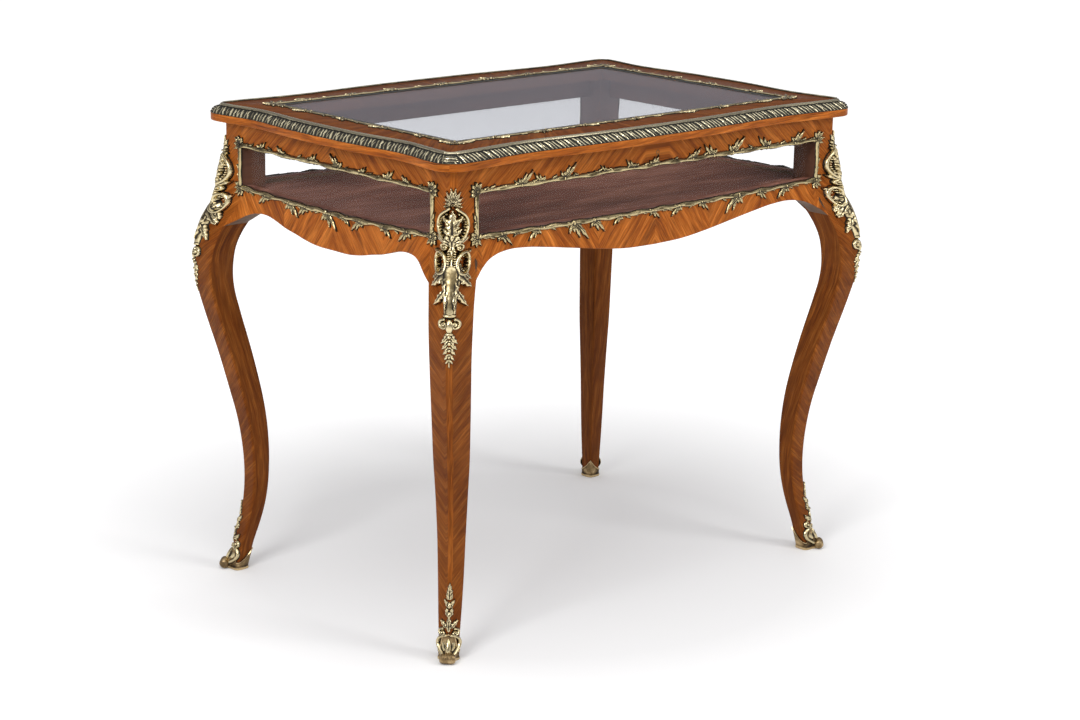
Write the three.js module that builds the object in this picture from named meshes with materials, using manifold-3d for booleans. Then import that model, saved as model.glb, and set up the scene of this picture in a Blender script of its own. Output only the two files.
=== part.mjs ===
// Display table for a collection of small objects: a shallow glazed case with a lifting
// glass lid, on four cabriole legs, dressed with cast gilt brass.
// Millimetres, +Z up. The origin is on the floor under the middle of the table.
// +X runs along the long side and -Y is the front, the side with the keyhole.

import * as THREE from 'three';
import { mergeVertices } from 'three/addons/utils/BufferGeometryUtils.js';
import Module from 'manifold-3d';

const wasm = await Module();
wasm.setup();

// Overall heights and plan
const tableHeight = 760;
const friezeLength = 810;
const friezeDepth = 542;
const lidOverhangEnds = 25;
const lidOverhangSides = 19;

// Clearances
const fitGap = 0.3;
const overrun = 4;
const weld = 0.0005;

// Case: rails, aprons and the glazed openings between them
const railThickness = 22;
const topRailHeight = 37.5;
const paneHeight = 61;
const longPaneBow = 4;
const shortPaneBow = 5;
const tenonLength = 18;
const tenonThickness = 8;
const tenonShoulder = 7;
const apronTenonHeight = 24;
const longApronDepth = 60;
const shortApronDepth = 63;
const longApronColumns = 26;
const shortApronColumns = 22;
const apronRows = 4;
const apronFlareStartShare = 0.7;
const paneGlassThickness = 3;
const paneGlassInset = 8;
const grooveDepth = 5;

// Lower edge of an apron: shares of its half length, then shares of its depth
const longApronShares = [
  [0, 1], [0.16, 0.971], [0.306, 0.867], [0.457, 0.725], [0.603, 0.592], [0.724, 0.498],
  [0.835, 0.473], [0.905, 0.54], [0.935, 0.61], [0.96, 0.713], [0.98, 0.827], [1, 0.99],
];
const shortApronShares = [
  [0, 1], [0.17, 0.99], [0.27, 0.938], [0.38, 0.851], [0.49, 0.773], [0.6, 0.659],
  [0.7, 0.584], [0.775, 0.579], [0.84, 0.619], [0.88, 0.689], [0.925, 0.819], [1, 1.02],
];

// Cabriole legs: a post above the knee, one square section that swells and thins below it
const postWidth = 46;
const kneeShoulder = 1;
const kneeReach = 36;
const shoulderSwell = 6;
const shoulderRise = 58;
const shoulderDrop = 70;
const shoulderInnerShare = 0.55;
const shoulderRootShare = 0.6;
const shoulderRings = 5;
const arrisChamferShare = 0.145;
const edgeEaseShare = 0.035;
const legRings = 26;

// Height as a share of the knee's top, outward reach of the sharp corner as a share of
// kneeReach, and width as a share of postWidth
const legShapeShares = [
  [1, 0, 1], [0.963, 0.157, 1.043], [0.939, 0.378, 1.05], [0.904, 0.65, 1.037],
  [0.872, 0.842, 1.026], [0.84, 0.956, 1.013], [0.791, 1, 0.989], [0.743, 0.931, 0.961],
  [0.677, 0.703, 0.937], [0.579, 0.322, 0.896], [0.479, -0.025, 0.85], [0.412, -0.247, 0.785],
  [0.345, -0.394, 0.726], [0.28, -0.467, 0.674], [0.213, -0.456, 0.635], [0.146, -0.344, 0.591],
  [0.079, -0.156, 0.535], [0, 0, 0.457],
];

// Cast mounts on the knees
const kneeMountDrop = 165;
const kneeMountRise = 79;
const kneeMountWidth = 50;
const kneeMountProud = 15;
const kneeMountEdge = 1.4;
const kneeMountRings = 26;

// Share of the way up the mount, share of its width, share of its projection
const kneeMountShares = [
  [0, 0.1, 0.12], [0.05, 0.24, 0.2], [0.1, 0.32, 0.25], [0.165, 0.42, 0.33], [0.195, 0.44, 0.3],
  [0.24, 0.52, 0.42], [0.3, 0.42, 0.34], [0.35, 0.4, 0.45], [0.41, 0.48, 0.72], [0.47, 0.66, 0.85],
  [0.535, 0.88, 0.9], [0.58, 0.98, 1], [0.64, 0.94, 0.97], [0.685, 0.76, 0.88], [0.74, 0.86, 0.93],
  [0.78, 0.88, 0.9], [0.84, 0.76, 0.78], [0.9, 0.54, 0.6], [0.945, 0.42, 0.4], [1, 0.16, 0.12],
];

// Cast shoes on the feet: the cup's rings as shares of its height, how much its toe swells
// at the least, and where its cheeks lie as a share of the leg's half width
const shoeRingShares = [0, 0.3, 0.65, 1];
const shoeSwellShare = 0.55;
const shoeSwellPlaceShare = 0.2;
const shoeCheekShare = 0.72;
const shoeSole = 3;
const shoeWall = 2.6;
const shoeToeHeight = 22;
const shoeCheekHeight = 40;
const shoeSideHeight = 17;
const shoeHeelHeight = 33;
const shoeToe = 11;
const shoeCheek = 5;
const shoeLeafHeight = 113;
const shoeLeafWidth = 16;
const shoeLeafProud = 4.5;
const shoeLeafRings = 12;
const shoeScrollRadius = 8;
const shoeScrollWidth = 17;

// Share of the leaf's height, share of its width, share of its projection
const shoeLeafShares = [
  [0, 1, 1], [0.25, 1, 1], [0.45, 0.9, 0.9], [0.58, 0.85, 0.8], [0.66, 0.95, 1.1],
  [0.73, 0.62, 0.7], [0.89, 1, 0.8], [1, 0.2, 0.3],
];

// Brass frames around the side panes
const paneMountWidth = 7;
const paneMountDepth = 4;
const paneMountEase = 1.5;
const bowSteps = 16;

// Display floor: a board on cleats, under the velvet
const baseBoardThickness = 12;
const velvetThickness = 4;
const velvetSill = 2;
const cleatWidth = 12;
const cleatHeight = 10;
const cleatLengthShare = 0.46;

// Lid: four mitred boards with a sloped edge, and bevelled plate glass let in from above
const lidThickness = 28.5;
const lidBorder = 91;
const lidCornerRadius = 30;
const lidHollow = 9.5;
const lidEdgeFillet = 11.5;
const hollowPlaceShare = 0.65;
const lidEdgeColumns = 22;
const lidCornerColumns = 3;
const lidGlassThickness = 6;
const lidGlassBearing = 12;
const lidGlassBevelWidth = 14;
const lidGlassBevelDrop = 1.5;

// Cast band on the sloped edge, and the moulding that holds the glass
const bandRun = 18;
const bandThickness = 3.6;
const bandProud = 0.6;
const bandLip = 2;
const bandCrownShare = 1.3;
const glassMountWidth = 16;
const glassMountHeight = 4;
const glassMountOverlap = 5;

// Section of the moulding: shares of its width, then of its height
const glassMountShares = [[0, 0], [0, 0.6], [0.2, 1], [0.8, 0.85], [1, 0.4], [1, 0]];

// Hinges at the back
const hingeWidth = 60;
const hingeLeafDepth = 16;
const hingeLeafThickness = 2;
const hingeKnuckleRadius = 3.5;
const hingeKnuckles = 5;
const hingePinRadius = 1.6;
const hingePlaceShare = 0.62;
const roundSteps = 16;

// Lock in the middle of the front rail
const lockWidth = 50;
const lockHeight = 27;
const lockDepth = 12;
const boltWidth = 16;
const boltThickness = 4;
const boltLength = 12;
const boltTravel = 6;
const boltSetback = 0.4;
const boltClearance = 0.6;
const strikerWidth = 38;
const strikerDepth = 10;
const strikerThickness = 1.6;
const keyholeDrop = 16.7;
const keyholeRadius = 2.4;
const keyholeSlotWidth = 2.2;
const keyholeSlotLength = 7;
const keyholeWall = 0.9;
const keyholeProud = 0.4;
const keyBoreDepth = 3;

// Levels and plan sizes worked out from the values above
const lidUnderside = tableHeight - lidThickness;
const boardTop = tableHeight - glassMountHeight - fitGap;
const filletTop = lidUnderside + lidEdgeFillet;
const caseTop = lidUnderside - fitGap;
const paneTop = lidUnderside - topRailHeight;
const paneBottom = paneTop - paneHeight;
const deepestBow = Math.max(longPaneBow, shortPaneBow);
const kneeTop = paneBottom - Math.max(paneMountWidth, deepestBow) - kneeShoulder;
const lowestPaneEdge = paneBottom - deepestBow;
const velvetTop = lowestPaneEdge - velvetSill;
const velvetBottom = velvetTop - velvetThickness;
const boardUpper = velvetBottom - fitGap;
const boardLower = boardUpper - baseBoardThickness;
const cleatUpper = boardLower - fitGap;
const tenonInset = (railThickness - tenonThickness) / 2;
const diagonal = Math.SQRT1_2;

// The four sides, each modelled as a front and then turned about the middle
const sides = [
  { name: 'front', long: true, quarter: 0 },
  { name: 'right', long: false, quarter: 1 },
  { name: 'back', long: true, quarter: 2 },
  { name: 'left', long: false, quarter: 3 },
];
for (const side of sides) {
  const { long } = side;
  side.half = (long ? friezeLength : friezeDepth) / 2;
  side.reach = (long ? friezeDepth : friezeLength) / 2;
  side.lidHalf = side.half + (long ? lidOverhangEnds : lidOverhangSides);
  side.lidReach = side.reach + (long ? lidOverhangSides : lidOverhangEnds);
  side.paneBow = long ? longPaneBow : shortPaneBow;
  side.apronDepth = long ? longApronDepth : shortApronDepth;
  side.apronShares = long ? longApronShares : shortApronShares;
  side.apronColumns = long ? longApronColumns : shortApronColumns;
}
const corners = ['front_left', 'front_right', 'back_right', 'back_left'];

const finishes = {
  kingwood: new THREE.MeshStandardMaterial({ color: 0x8a4a22, roughness: 0.35, metalness: 0 }),
  plainWood: new THREE.MeshStandardMaterial({ color: 0x6b4a30, roughness: 0.6, metalness: 0 }),
  brass: new THREE.MeshStandardMaterial({ color: 0xb08d4c, roughness: 0.4, metalness: 1 }),
  glass: new THREE.MeshStandardMaterial({
    color: 0xdfeae6, roughness: 0.05, metalness: 0, transparent: true, opacity: 0.25,
  }),
  velvet: new THREE.MeshStandardMaterial({ color: 0x8d6a66, roughness: 0.95, metalness: 0 }),
  steel: new THREE.MeshStandardMaterial({ color: 0x7c7c7a, roughness: 0.45, metalness: 1 }),
};

// Smooth curve through a table whose first column rises or falls steadily
function smooth(table) {
  const rows = table[0][0] <= table.at(-1)[0] ? table : [...table].reverse();
  const slope = (i, k) => {
    const before = rows[Math.max(i - 1, 0)];
    const after = rows[Math.min(i + 1, rows.length - 1)];
    return (after[k] - before[k]) / (after[0] - before[0]);
  };
  return (share) => {
    const at = THREE.MathUtils.clamp(share, rows[0][0], rows.at(-1)[0]);
    let i = rows.findIndex((row) => row[0] >= at) - 1;
    i = Math.max(i, 0);
    const span = rows[i + 1][0] - rows[i][0];
    const t = (at - rows[i][0]) / span;
    return rows[i].slice(1).map((value, column) => {
      const k = column + 1;
      const a = (2 * t ** 3 - 3 * t ** 2 + 1) * value;
      const b = (t ** 3 - 2 * t ** 2 + t) * span * slope(i, k);
      const c = (3 * t ** 2 - 2 * t ** 3) * rows[i + 1][k];
      const d = (t ** 3 - t ** 2) * span * slope(i + 1, k);
      return a + b + c + d;
    });
  };
}

// Closed skin from points and triangles, turned so that its faces point outwards
function skin(points, triangles) {
  const [p, q, r] = [new THREE.Vector3(), new THREE.Vector3(), new THREE.Vector3()];
  let volume = 0;
  for (const [i, j, k] of triangles) {
    volume += p.copy(points[i]).dot(q.copy(points[j]).cross(r.copy(points[k])));
  }
  const geometry = new THREE.BufferGeometry().setFromPoints(points);
  geometry.setIndex(triangles.flatMap(([i, j, k]) => (volume > 0 ? [i, j, k] : [i, k, j])));
  return geometry;
}

// Skin over a row of rings with as many points each: capped at both ends, or joined round
function loft(rings, round = false) {
  const count = rings[0].length;
  const points = rings.flat();
  const triangles = [];
  const spans = round ? rings.length : rings.length - 1;
  for (let i = 0; i < spans; i += 1) {
    const next = (i + 1) % rings.length;
    for (let j = 0; j < count; j += 1) {
      const [a, b] = [i * count + j, i * count + ((j + 1) % count)];
      const [c, d] = [next * count + ((j + 1) % count), next * count + j];
      triangles.push([a, b, c], [a, c, d]);
    }
  }
  if (!round) {
    for (const last of [false, true]) {
      const start = last ? (rings.length - 1) * count : 0;
      for (const [a, b, c] of cap(last ? rings.at(-1) : rings[0])) {
        triangles.push(last ? [start + a, start + b, start + c] : [start + a, start + c, start + b]);
      }
    }
  }
  return skin(points, triangles);
}

// Triangles of one ring's end face, wound the way the ring runs
function cap(ring) {
  const normal = new THREE.Vector3();
  ring.forEach((point, i) => normal.add(new THREE.Vector3().crossVectors(point, ring[(i + 1) % ring.length])));
  const sizes = normal.toArray().map(Math.abs);
  const drop = sizes.indexOf(Math.max(...sizes));
  const [u, v] = [(drop + 1) % 3, (drop + 2) % 3];
  const flat = ring.map((point) => new THREE.Vector2(point.getComponent(u), point.getComponent(v)));
  const way = Math.sign(THREE.ShapeUtils.area(flat));
  return THREE.ShapeUtils.triangulateShape(flat, []).map(([a, b, c]) => {
    const same = Math.sign(THREE.ShapeUtils.area([flat[a], flat[b], flat[c]])) === way;
    return same ? [a, b, c] : [a, c, b];
  });
}

// Solids for cutting and joining, and back to a geometry
function solid(geometry) {
  const bare = geometry.clone();
  bare.deleteAttribute('normal');
  bare.deleteAttribute('uv');
  const merged = mergeVertices(bare, weld);
  return new wasm.Manifold(new wasm.Mesh({
    numProp: 3,
    vertProperties: new Float32Array(merged.attributes.position.array),
    triVerts: new Uint32Array(merged.index.array),
  }));
}

function toGeometry(body) {
  const { vertProperties, triVerts } = body.getMesh();
  const geometry = new THREE.BufferGeometry();
  geometry.setAttribute('position', new THREE.BufferAttribute(vertProperties, 3));
  geometry.setIndex(new THREE.BufferAttribute(triVerts, 1));
  return geometry;
}

function block([x0, x1], [y0, y1], [z0, z1]) {
  const geometry = new THREE.BoxGeometry(x1 - x0, y1 - y0, z1 - z0);
  return solid(geometry.translate((x0 + x1) / 2, (y0 + y1) / 2, (z0 + z1) / 2));
}

// Round bar along X between two places
function bar(radius, [x0, x1], y, z) {
  const geometry = new THREE.CylinderGeometry(radius, radius, x1 - x0, roundSteps);
  return solid(geometry.rotateZ(Math.PI / 2).translate((x0 + x1) / 2, y, z));
}

const legCurve = smooth(legShapeShares);
const kneeMountCurve = smooth(kneeMountShares);
const shoeLeafCurve = smooth(shoeLeafShares);

// Reach of the leg's square section, its width, and how much further its corner swells
function legAt(z) {
  const [reach, width] = legCurve(z / kneeTop);
  const off = (z - kneeTop) / (z > kneeTop ? shoulderRise : shoulderDrop);
  const swell = Math.abs(off) < 1 ? shoulderSwell * Math.cos(off * Math.PI / 2) ** 2 : 0;
  return { reach: reach * kneeReach, width: width * postWidth, swell };
}

// One leg about its corner of the frieze, which is the origin; the table's middle lies
// towards +X and +Y. Grow makes a copy that clears the leg by that much all round.
function legBody(bottom, grow = 0) {
  const rings = [];
  for (let i = 0; i <= legRings; i += 1) {
    rings.push(legSection(bottom + (kneeTop - bottom) * (i / legRings), grow));
  }
  for (let i = 1; i <= shoulderRings; i += 1) {
    rings.push(legSection(kneeTop + shoulderRise * (i / shoulderRings), grow));
  }
  rings.push(legSection(caseTop + grow, grow));
  return solid(loft(rings));
}

// Section of a leg: the two corners of its canted edge swell out from the plain square
function legSection(z, grow) {
  const { reach, width, swell } = legAt(z);
  const low = -reach - grow;
  const high = low + width + 2 * grow;
  const canted = arrisChamferShare * width;
  const eased = edgeEaseShare * width;
  const root = width * shoulderRootShare;
  const [near, aside] = [low - swell, low + canted - swell * shoulderInnerShare];
  return [
    [aside, near], [low + root, low], [high - eased, low], [high, low + eased], [high, high - eased],
    [high - eased, high], [low + eased, high], [low, high - eased], [low, low + root], [near, aside],
  ].map(([x, y]) => new THREE.Vector3(x, y, z));
}

// Square room that an apron leaves for the leg: a clearance off its inner faces, open outwards
function legRoom() {
  const rings = [];
  for (let i = 0; i <= legRings; i += 1) {
    const z = shoeSideHeight + (kneeTop - shoeSideHeight) * (i / legRings);
    rings.push(roomSection(z, z));
  }
  rings.push(roomSection(kneeTop, caseTop));
  return loft(rings);
}

function roomSection(z, level) {
  const { reach, width } = legAt(z);
  const [low, high] = [-reach - overrun, -reach + width + fitGap];
  return [[low, low], [high, low], [high, high], [low, high]].map(([x, y]) => new THREE.Vector3(x, y, level));
}

// Pane and tenon places seen from a corner; both faces of a post are cut alike
const paneSpan = [lowestPaneEdge - grooveDepth, paneTop + grooveDepth];
const railTenonSpan = [paneTop + tenonShoulder, caseTop - tenonShoulder];
const apronTenonSpan = [paneSpan[0] - tenonShoulder / 2 - apronTenonHeight, paneSpan[0] - tenonShoulder / 2];

function widened([low, high], by) {
  return [low - by, high + by];
}

function leg() {
  let body = legBody(shoeSole + fitGap);
  const inner = postWidth + overrun;
  const tenonAcross = widened([tenonInset, tenonInset + tenonThickness], fitGap);
  const glassAcross = widened([paneGlassInset, paneGlassInset + paneGlassThickness], fitGap);
  const tenonAlong = [postWidth - tenonLength - fitGap, inner];
  const glassAlong = [postWidth - grooveDepth - fitGap, inner];
  const cuts = [
    [tenonAlong, tenonAcross, widened(railTenonSpan, fitGap)],
    [tenonAlong, tenonAcross, widened(apronTenonSpan, fitGap)],
    [glassAlong, glassAcross, widened(paneSpan, fitGap)],
  ];
  for (const [along, across, span] of cuts) {
    body = body.subtract(block(along, across, span)).subtract(block(across, along, span));
  }
  return toGeometry(body);
}

// Distance out along the corner's diagonal, and sideways across it, to a point
function fromCorner(out, aside, z) {
  return new THREE.Vector3((-out + aside) * diagonal, (-out - aside) * diagonal, z);
}

// Where the leg's canted edge lies on the diagonal, and half its width
function arrisAt(z) {
  const { reach, width, swell } = legAt(z);
  const canted = arrisChamferShare * width;
  const spread = swell * (1 - shoulderInnerShare);
  return {
    out: (2 * reach - canted + swell * (1 + shoulderInnerShare)) * diagonal,
    half: (canted + spread) * diagonal,
  };
}

// Section of a casting that lies over the canted edge
const castingShares = [-1, -0.8, -0.45, 0, 0.45, 0.8, 1];

function castingRing(z, width, proud, edge) {
  const { out, half } = arrisAt(z);
  const ring = castingShares.map((share) => {
    const aside = share * width / 2;
    const fall = Math.max(Math.abs(aside) - half, 0);
    return fromCorner(out - fall + edge + (proud - edge) * (1 - share ** 2), aside, z);
  });
  const back = out - width / 2 - 2 * edge;
  ring.push(fromCorner(back, width / 4, z), fromCorner(back, -width / 4, z));
  return ring;
}

function kneeMount() {
  const low = kneeTop - kneeMountDrop;
  const rings = [];
  for (let i = 0; i <= kneeMountRings; i += 1) {
    const share = i / kneeMountRings;
    const [width, proud] = kneeMountCurve(share);
    const edge = Math.min(kneeMountEdge, proud * kneeMountProud);
    const z = low + share * (kneeMountDrop + kneeMountRise);
    rings.push(castingRing(z, width * kneeMountWidth, proud * kneeMountProud, edge));
  }
  return toGeometry(solid(loft(rings)).subtract(legBody(shoeSole, fitGap)));
}

// Cast shoe: a cup round the foot with a rising edge, a leaf up the canted edge and a scroll
function shoe() {
  const rings = shoeRingShares.map((share) => {
    const bulge = Math.sin(Math.PI * Math.min(share + shoeSwellPlaceShare, 1));
    const swell = THREE.MathUtils.lerp(shoeSwellShare, 1, bulge);
    const point = (top, place) => {
      const { reach, width } = legAt(share * top);
      return [...place(2 * reach * diagonal, width * diagonal), share * top];
    };
    const half = [
      point(shoeToeHeight, (out) => [out + shoeToe * swell, shoeCheek]),
      point(shoeCheekHeight, (out, across) => [out - across / 2, across * shoeCheekShare + shoeWall]),
      point(shoeSideHeight, (out, across) => [out - across, across + shoeWall / diagonal]),
      point(shoeHeelHeight, (out, across) => [out - 2 * across - shoeWall / diagonal, shoeWall]),
    ];
    const other = half.map(([u, w, z]) => [u, -w, z]).reverse();
    return [...half, ...other].map(([u, w, z]) => fromCorner(u, w, z));
  });
  const leafRings = [];
  for (let i = 0; i <= shoeLeafRings; i += 1) {
    const share = i / shoeLeafRings;
    const [width, proud] = shoeLeafCurve(share);
    const z = shoeSole + share * (shoeLeafHeight - shoeSole);
    leafRings.push(castingRing(z, width * shoeLeafWidth, proud * shoeLeafProud, proud * shoeLeafProud / 3));
  }
  const toeOut = 2 * legAt(0).reach * diagonal + shoeToe - shoeScrollRadius / 2;
  const scroll = new THREE.CylinderGeometry(shoeScrollRadius, shoeScrollRadius, shoeScrollWidth, roundSteps)
    .rotateZ(Math.PI / 2).translate(0, 0, shoeScrollRadius)
    .rotateZ(-Math.PI / 4);
  const place = fromCorner(toeOut, 0, 0);
  const body = solid(loft(rings)).add(solid(loft(leafRings)))
    .add(solid(scroll.translate(place.x, place.y, place.z)));
  return toGeometry(body.subtract(legBody(shoeSole, fitGap)));
}

// Top rail of one side with its tenons, grooved below for the pane
function topRail(side) {
  const end = side.half - postWidth - fitGap;
  const face = -side.reach;
  let body = block([-end, end], [face, face + railThickness], [paneTop, caseTop]);
  const across = [face + tenonInset, face + tenonInset + tenonThickness];
  const tenonEnd = side.half - postWidth + tenonLength;
  body = body.add(block([-tenonEnd, tenonEnd], across, railTenonSpan));
  body = body.subtract(paneGroove(side));
  if (side.name === 'front') body = body.subtract(lockRoom(side, fitGap)).subtract(keyhole(side, keyholeWall + fitGap));
  if (side.name === 'back') {
    for (const x of hingePlaces()) {
      const recess = [caseTop - hingeLeafThickness - fitGap, caseTop + overrun];
      const span = widened([x - hingeWidth / 2, x + hingeWidth / 2], fitGap);
      body = body.subtract(block(span, [face - overrun, face + hingeLeafDepth + fitGap], recess));
    }
  }
  return toGeometry(body);
}

function paneGroove(side) {
  const face = -side.reach + paneGlassInset;
  const across = widened([face, face + paneGlassThickness], fitGap);
  const end = side.half + overrun;
  return block([-end, end], across, widened(paneSpan, fitGap));
}

function pane(side) {
  const end = side.half - postWidth + grooveDepth;
  const face = -side.reach + paneGlassInset;
  return toGeometry(block([-end, end], [face, face + paneGlassThickness], paneSpan));
}

function paneSill(side, x) {
  const share = x / (side.half - postWidth);
  return paneBottom - side.paneBow * Math.max(1 - share ** 2, 0);
}

// Apron: shaped below, bowed above, and swelling out near the legs to meet the knees
function apron(side) {
  const edge = smooth(side.apronShares);
  const columns = side.apronColumns;
  const rings = [];
  for (let i = 0; i <= columns; i += 1) {
    const place = Math.sin(((i / columns) - 0.5) * Math.PI);
    const near = Math.abs(place);
    const bottom = paneBottom - edge(near)[0] * side.apronDepth;
    const flare = THREE.MathUtils.smoothstep(near, apronFlareStartShare, 1);
    const endAt = (z) => side.half + legAt(z).reach - legAt(z).width + overrun;
    const top = paneSill(side, place * endAt(paneBottom));
    const ring = [];
    for (let row = 0; row <= apronRows; row += 1) {
      const z = bottom + (kneeTop - bottom) * (row / apronRows);
      ring.push(new THREE.Vector3(place * endAt(z), -side.reach - legAt(z).reach * flare, z));
    }
    ring.push(new THREE.Vector3(place * endAt(top), -side.reach, top));
    const back = -side.reach + railThickness;
    ring.push(new THREE.Vector3(place * endAt(top), back, top));
    ring.push(new THREE.Vector3(place * endAt(bottom), back, bottom));
    rings.push(ring);
  }
  let body = solid(loft(rings));
  for (const way of [-1, 1]) {
    const room = legRoom();
    if (way > 0) room.rotateZ(Math.PI / 2);
    body = body.subtract(solid(room.translate(way * side.half, -side.reach, 0)));
  }
  const across = [-side.reach + tenonInset, -side.reach + tenonInset + tenonThickness];
  const tenonEnd = side.half - postWidth + tenonLength;
  for (const way of [-1, 1]) {
    const root = side.half - postWidth - overrun;
    body = body.add(block([root, tenonEnd].map((x) => x * way).sort((a, b) => a - b), across, apronTenonSpan));
  }
  return toGeometry(body.subtract(paneGroove(side)));
}

// Brass frame round a pane, with its lower bar bowed like the sill
function paneMount(side) {
  const outline = (grow) => {
    const end = side.half - postWidth + grow;
    const points = [new THREE.Vector2(end, paneTop + grow), new THREE.Vector2(-end, paneTop + grow)];
    for (let i = 0; i <= bowSteps; i += 1) {
      const place = (i / bowSteps) * 2 - 1;
      points.push(new THREE.Vector2(place * end, paneSill(side, place * (side.half - postWidth)) - grow));
    }
    return points;
  };
  const frame = new THREE.Shape(outline(paneMountWidth - paneMountEase));
  frame.holes.push(new THREE.Path(outline(paneMountEase).reverse()));
  const geometry = new THREE.ExtrudeGeometry(frame, {
    depth: paneMountDepth - 2 * paneMountEase, bevelThickness: paneMountEase, bevelSize: paneMountEase,
    bevelSegments: 1,
  });
  geometry.rotateX(Math.PI / 2).translate(0, -side.reach - fitGap - paneMountEase, 0);
  return toGeometry(solid(geometry));
}

// Board and velvet share one plan: inside the aprons, notched round the posts
function floorPlate(low, high, margin) {
  const halfX = friezeLength / 2 - railThickness - margin;
  const halfY = friezeDepth / 2 - railThickness - margin;
  const notchX = friezeLength / 2 - postWidth - margin;
  const notchY = friezeDepth / 2 - postWidth - margin;
  const plan = new THREE.Shape([
    [-notchX, -halfY], [notchX, -halfY], [notchX, -notchY], [halfX, -notchY],
    [halfX, notchY], [notchX, notchY], [notchX, halfY], [-notchX, halfY],
    [-notchX, notchY], [-halfX, notchY], [-halfX, -notchY], [-notchX, -notchY],
  ].map(([x, y]) => new THREE.Vector2(x, y)));
  const plate = new THREE.ExtrudeGeometry(plan, { depth: high - low, bevelEnabled: false });
  return toGeometry(solid(plate.translate(0, 0, low)));
}

function cleat(side) {
  const half = side.half * cleatLengthShare;
  const face = -side.reach + railThickness + fitGap;
  return toGeometry(block([-half, half], [face, face + cleatWidth], [cleatUpper - cleatHeight, cleatUpper]));
}

// Stations along one side's lid edge, from mitre to mitre: the place, the way in from the
// edge, and how far along the side it lies
function lidStations(side) {
  const straight = side.lidHalf - lidCornerRadius;
  const power = Math.log(0.5) / Math.log(hollowPlaceShare);
  const stations = [];
  const corner = (turn, way) => {
    const [dx, dy] = [way * Math.sin(turn), -Math.cos(turn)];
    stations.push({
      x: way * straight + lidCornerRadius * dx,
      y: -side.lidReach + lidCornerRadius + lidCornerRadius * dy,
      inward: [-dx, -dy],
    });
  };
  for (let i = lidCornerColumns; i > 0; i -= 1) corner((i / lidCornerColumns) * Math.PI / 4, -1);
  for (let i = 0; i <= lidEdgeColumns; i += 1) {
    const place = (i / lidEdgeColumns) * 2 - 1;
    const hollow = lidHollow * Math.sin(Math.PI * Math.abs(place) ** power) ** 2;
    stations.push({ x: place * straight, y: -side.lidReach + hollow, inward: [0, 1] });
  }
  for (let i = 1; i <= lidCornerColumns; i += 1) corner((i / lidCornerColumns) * Math.PI / 4, 1);
  const end = stations.at(-1).x;
  for (const station of stations) station.share = station.x / end;
  stations[0].x += fitGap * diagonal;
  stations.at(-1).x -= fitGap * diagonal;
  return stations;
}

function alongEdge(station, inset, z) {
  return new THREE.Vector3(station.x + station.inward[0] * inset, station.y + station.inward[1] * inset, z);
}

// Straight inner edge of a lid board, a margin out from the lid's opening
function alongOpening(side, station, margin, z) {
  const end = side.lidHalf - lidBorder + margin;
  const shy = Math.abs(station.share) === 1 ? fitGap * diagonal : 0;
  return new THREE.Vector3(station.share * (end - shy), -side.lidReach + lidBorder - margin, z);
}

function lidBoard(side) {
  const rebate = boardTop - lidGlassThickness - fitGap;
  const rings = lidStations(side).map((station) => [
    alongEdge(station, 0, lidUnderside), alongEdge(station, 0, filletTop),
    alongEdge(station, bandRun, boardTop),
    alongOpening(side, station, lidGlassBearing + fitGap, boardTop),
    alongOpening(side, station, lidGlassBearing + fitGap, rebate),
    alongOpening(side, station, 0, rebate), alongOpening(side, station, 0, lidUnderside),
  ]);
  let body = solid(loft(rings));
  if (side.name === 'front') {
    const [x, y, z] = strikerSpans(side, fitGap);
    const [boltX, boltY] = boltSpans(side, boltClearance);
    body = body.subtract(block(x, y, [z[0] - overrun, z[1]]));
    body = body.subtract(block(boltX, boltY, [lidUnderside - overrun, lidUnderside + boltTravel + boltClearance]));
  }
  if (side.name === 'back') {
    const { y, z } = hingeAxis(side);
    for (const x of hingePlaces()) {
      const span = widened([x - hingeWidth / 2, x + hingeWidth / 2], fitGap);
      const leafSpan = [y, -side.reach + hingeLeafDepth + fitGap];
      const recess = [lidUnderside - overrun, lidUnderside + hingeLeafThickness + fitGap];
      body = body.subtract(block(span, leafSpan, recess)).subtract(bar(hingeKnuckleRadius + fitGap, span, y, z));
    }
  }
  return toGeometry(body);
}

function edgeBand(side) {
  const start = filletTop + fitGap;
  const end = boardTop + fitGap;
  const middle = (start + end) / 2;
  const outline = [
    [-bandProud, start], [0, start], [bandRun, end], [bandRun + bandLip, end],
    [bandRun + bandLip, end + bandThickness / 2], [bandRun, end + bandThickness],
    [bandRun / 2, middle + bandThickness * bandCrownShare], [-bandProud, start + bandThickness],
  ];
  return loft(lidStations(side).map((station) => outline.map(([inset, z]) => alongEdge(station, inset, z))));
}

// Bevelled plate in the lid's rebate
function lidGlass() {
  const long = sides[0];
  const halfX = long.lidHalf - lidBorder + lidGlassBearing;
  const halfY = long.lidReach - lidBorder + lidGlassBearing;
  const low = boardTop - lidGlassThickness;
  const rings = [
    [0, low], [0, boardTop - lidGlassBevelDrop], [lidGlassBevelWidth, boardTop],
  ].map(([inset, z]) => rectangle(halfX - inset, halfY - inset, z));
  return toGeometry(solid(loft(rings)));
}

function rectangle(halfX, halfY, z) {
  return [[-1, -1], [1, -1], [1, 1], [-1, 1]].map(([x, y]) => new THREE.Vector3(x * halfX, y * halfY, z));
}

// Moulding over the edge of the glass, mitred round the opening
function glassMount() {
  const long = sides[0];
  const inner = lidGlassBearing - glassMountOverlap;
  const halfX = long.lidHalf - lidBorder + inner;
  const halfY = long.lidReach - lidBorder + inner;
  const low = boardTop + fitGap;
  const section = glassMountShares.map(([out, up]) => [out * glassMountWidth, low + up * glassMountHeight]);
  const rings = [[-1, -1], [1, -1], [1, 1], [-1, 1]].map(([x, y]) => (
    section.map(([out, z]) => new THREE.Vector3(x * (halfX + out), y * (halfY + out), z))
  ));
  return loft(rings, true);
}

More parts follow.
